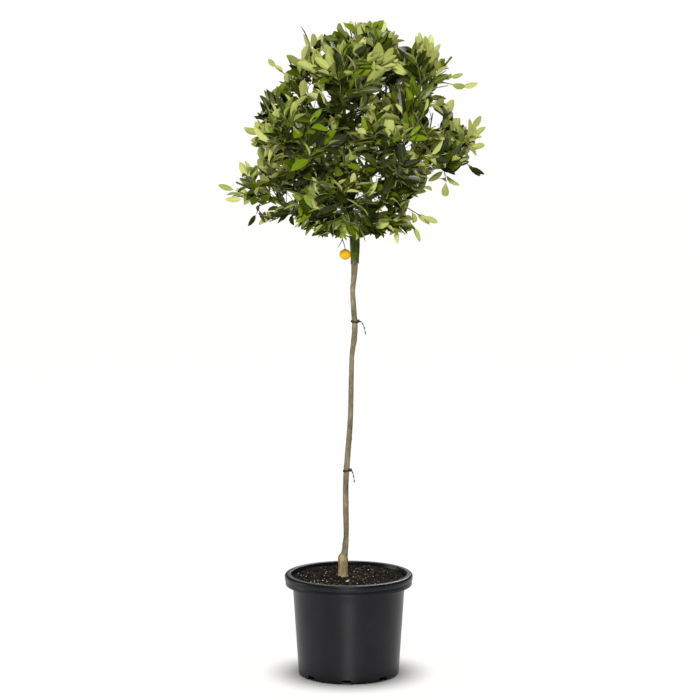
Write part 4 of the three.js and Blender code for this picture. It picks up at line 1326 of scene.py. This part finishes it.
# Stage: pale floor, white surround and soft lamps; the surround lights the tree less than it shows
stage = {
    "floor": "#fbfaf8", "floorRadius": 40000, "floorDrop": 0.5, "surround": 1.02, "surroundLight": 0.13,
    # A lamp has its azimuth, elevation and width in degrees and its strength
    "key": (-5, 19, 10, 4.4), "top": (0, 70, 20, 0.35),
    "side": (-98, 12, 25, 0.6), "back": (170, 35, 25, 1.3),
    "floorLamp": (0, 90, 30, 3.05), "potLamp": (0, -13, 16, 0.54), "rimLamp": (-5, 45, 20, 1.3),
}


def addLamp(name, lit):
    azimuth, elevation, width, strength = stage[name]
    lamp = bpy.data.lights.new(name, "SUN")
    lamp.angle, lamp.energy = math.radians(width), strength
    holder = addObject(name, lamp)
    holder.rotation_euler = (math.radians(90 - elevation), 0, math.radians(azimuth))
    holder.light_linking.receiver_collection = lit
    return holder.light_linking


def gather(name, things):
    group = bpy.data.collections.new(name)
    for thing in things:
        group.objects.link(thing)
    return group


# Floor: matt paper, nearly white, on which the pot's shadow fades out softly
def makeFloor():
    material, shader = newMaterial("paperFloorMatt", stage["floor"], Roughness=0.9)
    bm = bmesh.new()
    below = Matrix.Translation((0, 0, -stage["floorDrop"]))
    bmesh.ops.create_circle(bm, cap_ends=True, radius=stage["floorRadius"], segments=96, matrix=below)
    floor = addObject("floor", meshFrom("floor", bm))
    floor.data.materials.append(material)
    floor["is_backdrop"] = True
    return floor


# Seen white, but dim as a light
def makeSurround():
    world = bpy.data.worlds.new("surround")
    world.use_nodes = True
    shown = addNode(world, "ShaderNodeLightPath", {}).outputs["Is Camera Ray"]
    strength = addNode(world, "ShaderNodeMapRange", {"Value": shown, "To Min": stage["surroundLight"],
                                                     "To Max": stage["surround"]})
    background = world.node_tree.nodes["Background"]
    background.inputs["Color"].default_value = (1, 1, 1, 1)
    world.node_tree.links.new(strength.outputs[0], background.inputs["Strength"])
    bpy.context.scene.world = world


def makeLamps(floor):
    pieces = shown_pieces()
    tree = gather("tree", pieces)
    potAndMix = gather("potAndMix", [piece for piece in pieces if piece.name.startswith("pot")])
    # The low key lamp would glare along the pot's rim, seen from behind
    addLamp("key", gather("plant", [piece for piece in pieces if piece.name != "pot_moulded"]))
    for name in ("top", "side", "back"):
        addLamp(name, tree)
    # Lights the floor, where only the pot and its mix throw a shadow
    addLamp("floorLamp", gather("ground", [floor])).blocker_collection = potAndMix
    # The bright floor before the pot, mirrored in its front
    addLamp("potLamp", tree).blocker_collection = tree
    addLamp("rimLamp", gather("potAlone", [piece for piece in pieces if piece.name == "pot_moulded"]))


makeSurround()
makeLamps(makeFloor())
bpy.context.scene.view_settings.view_transform = "Standard"
print("stage made")
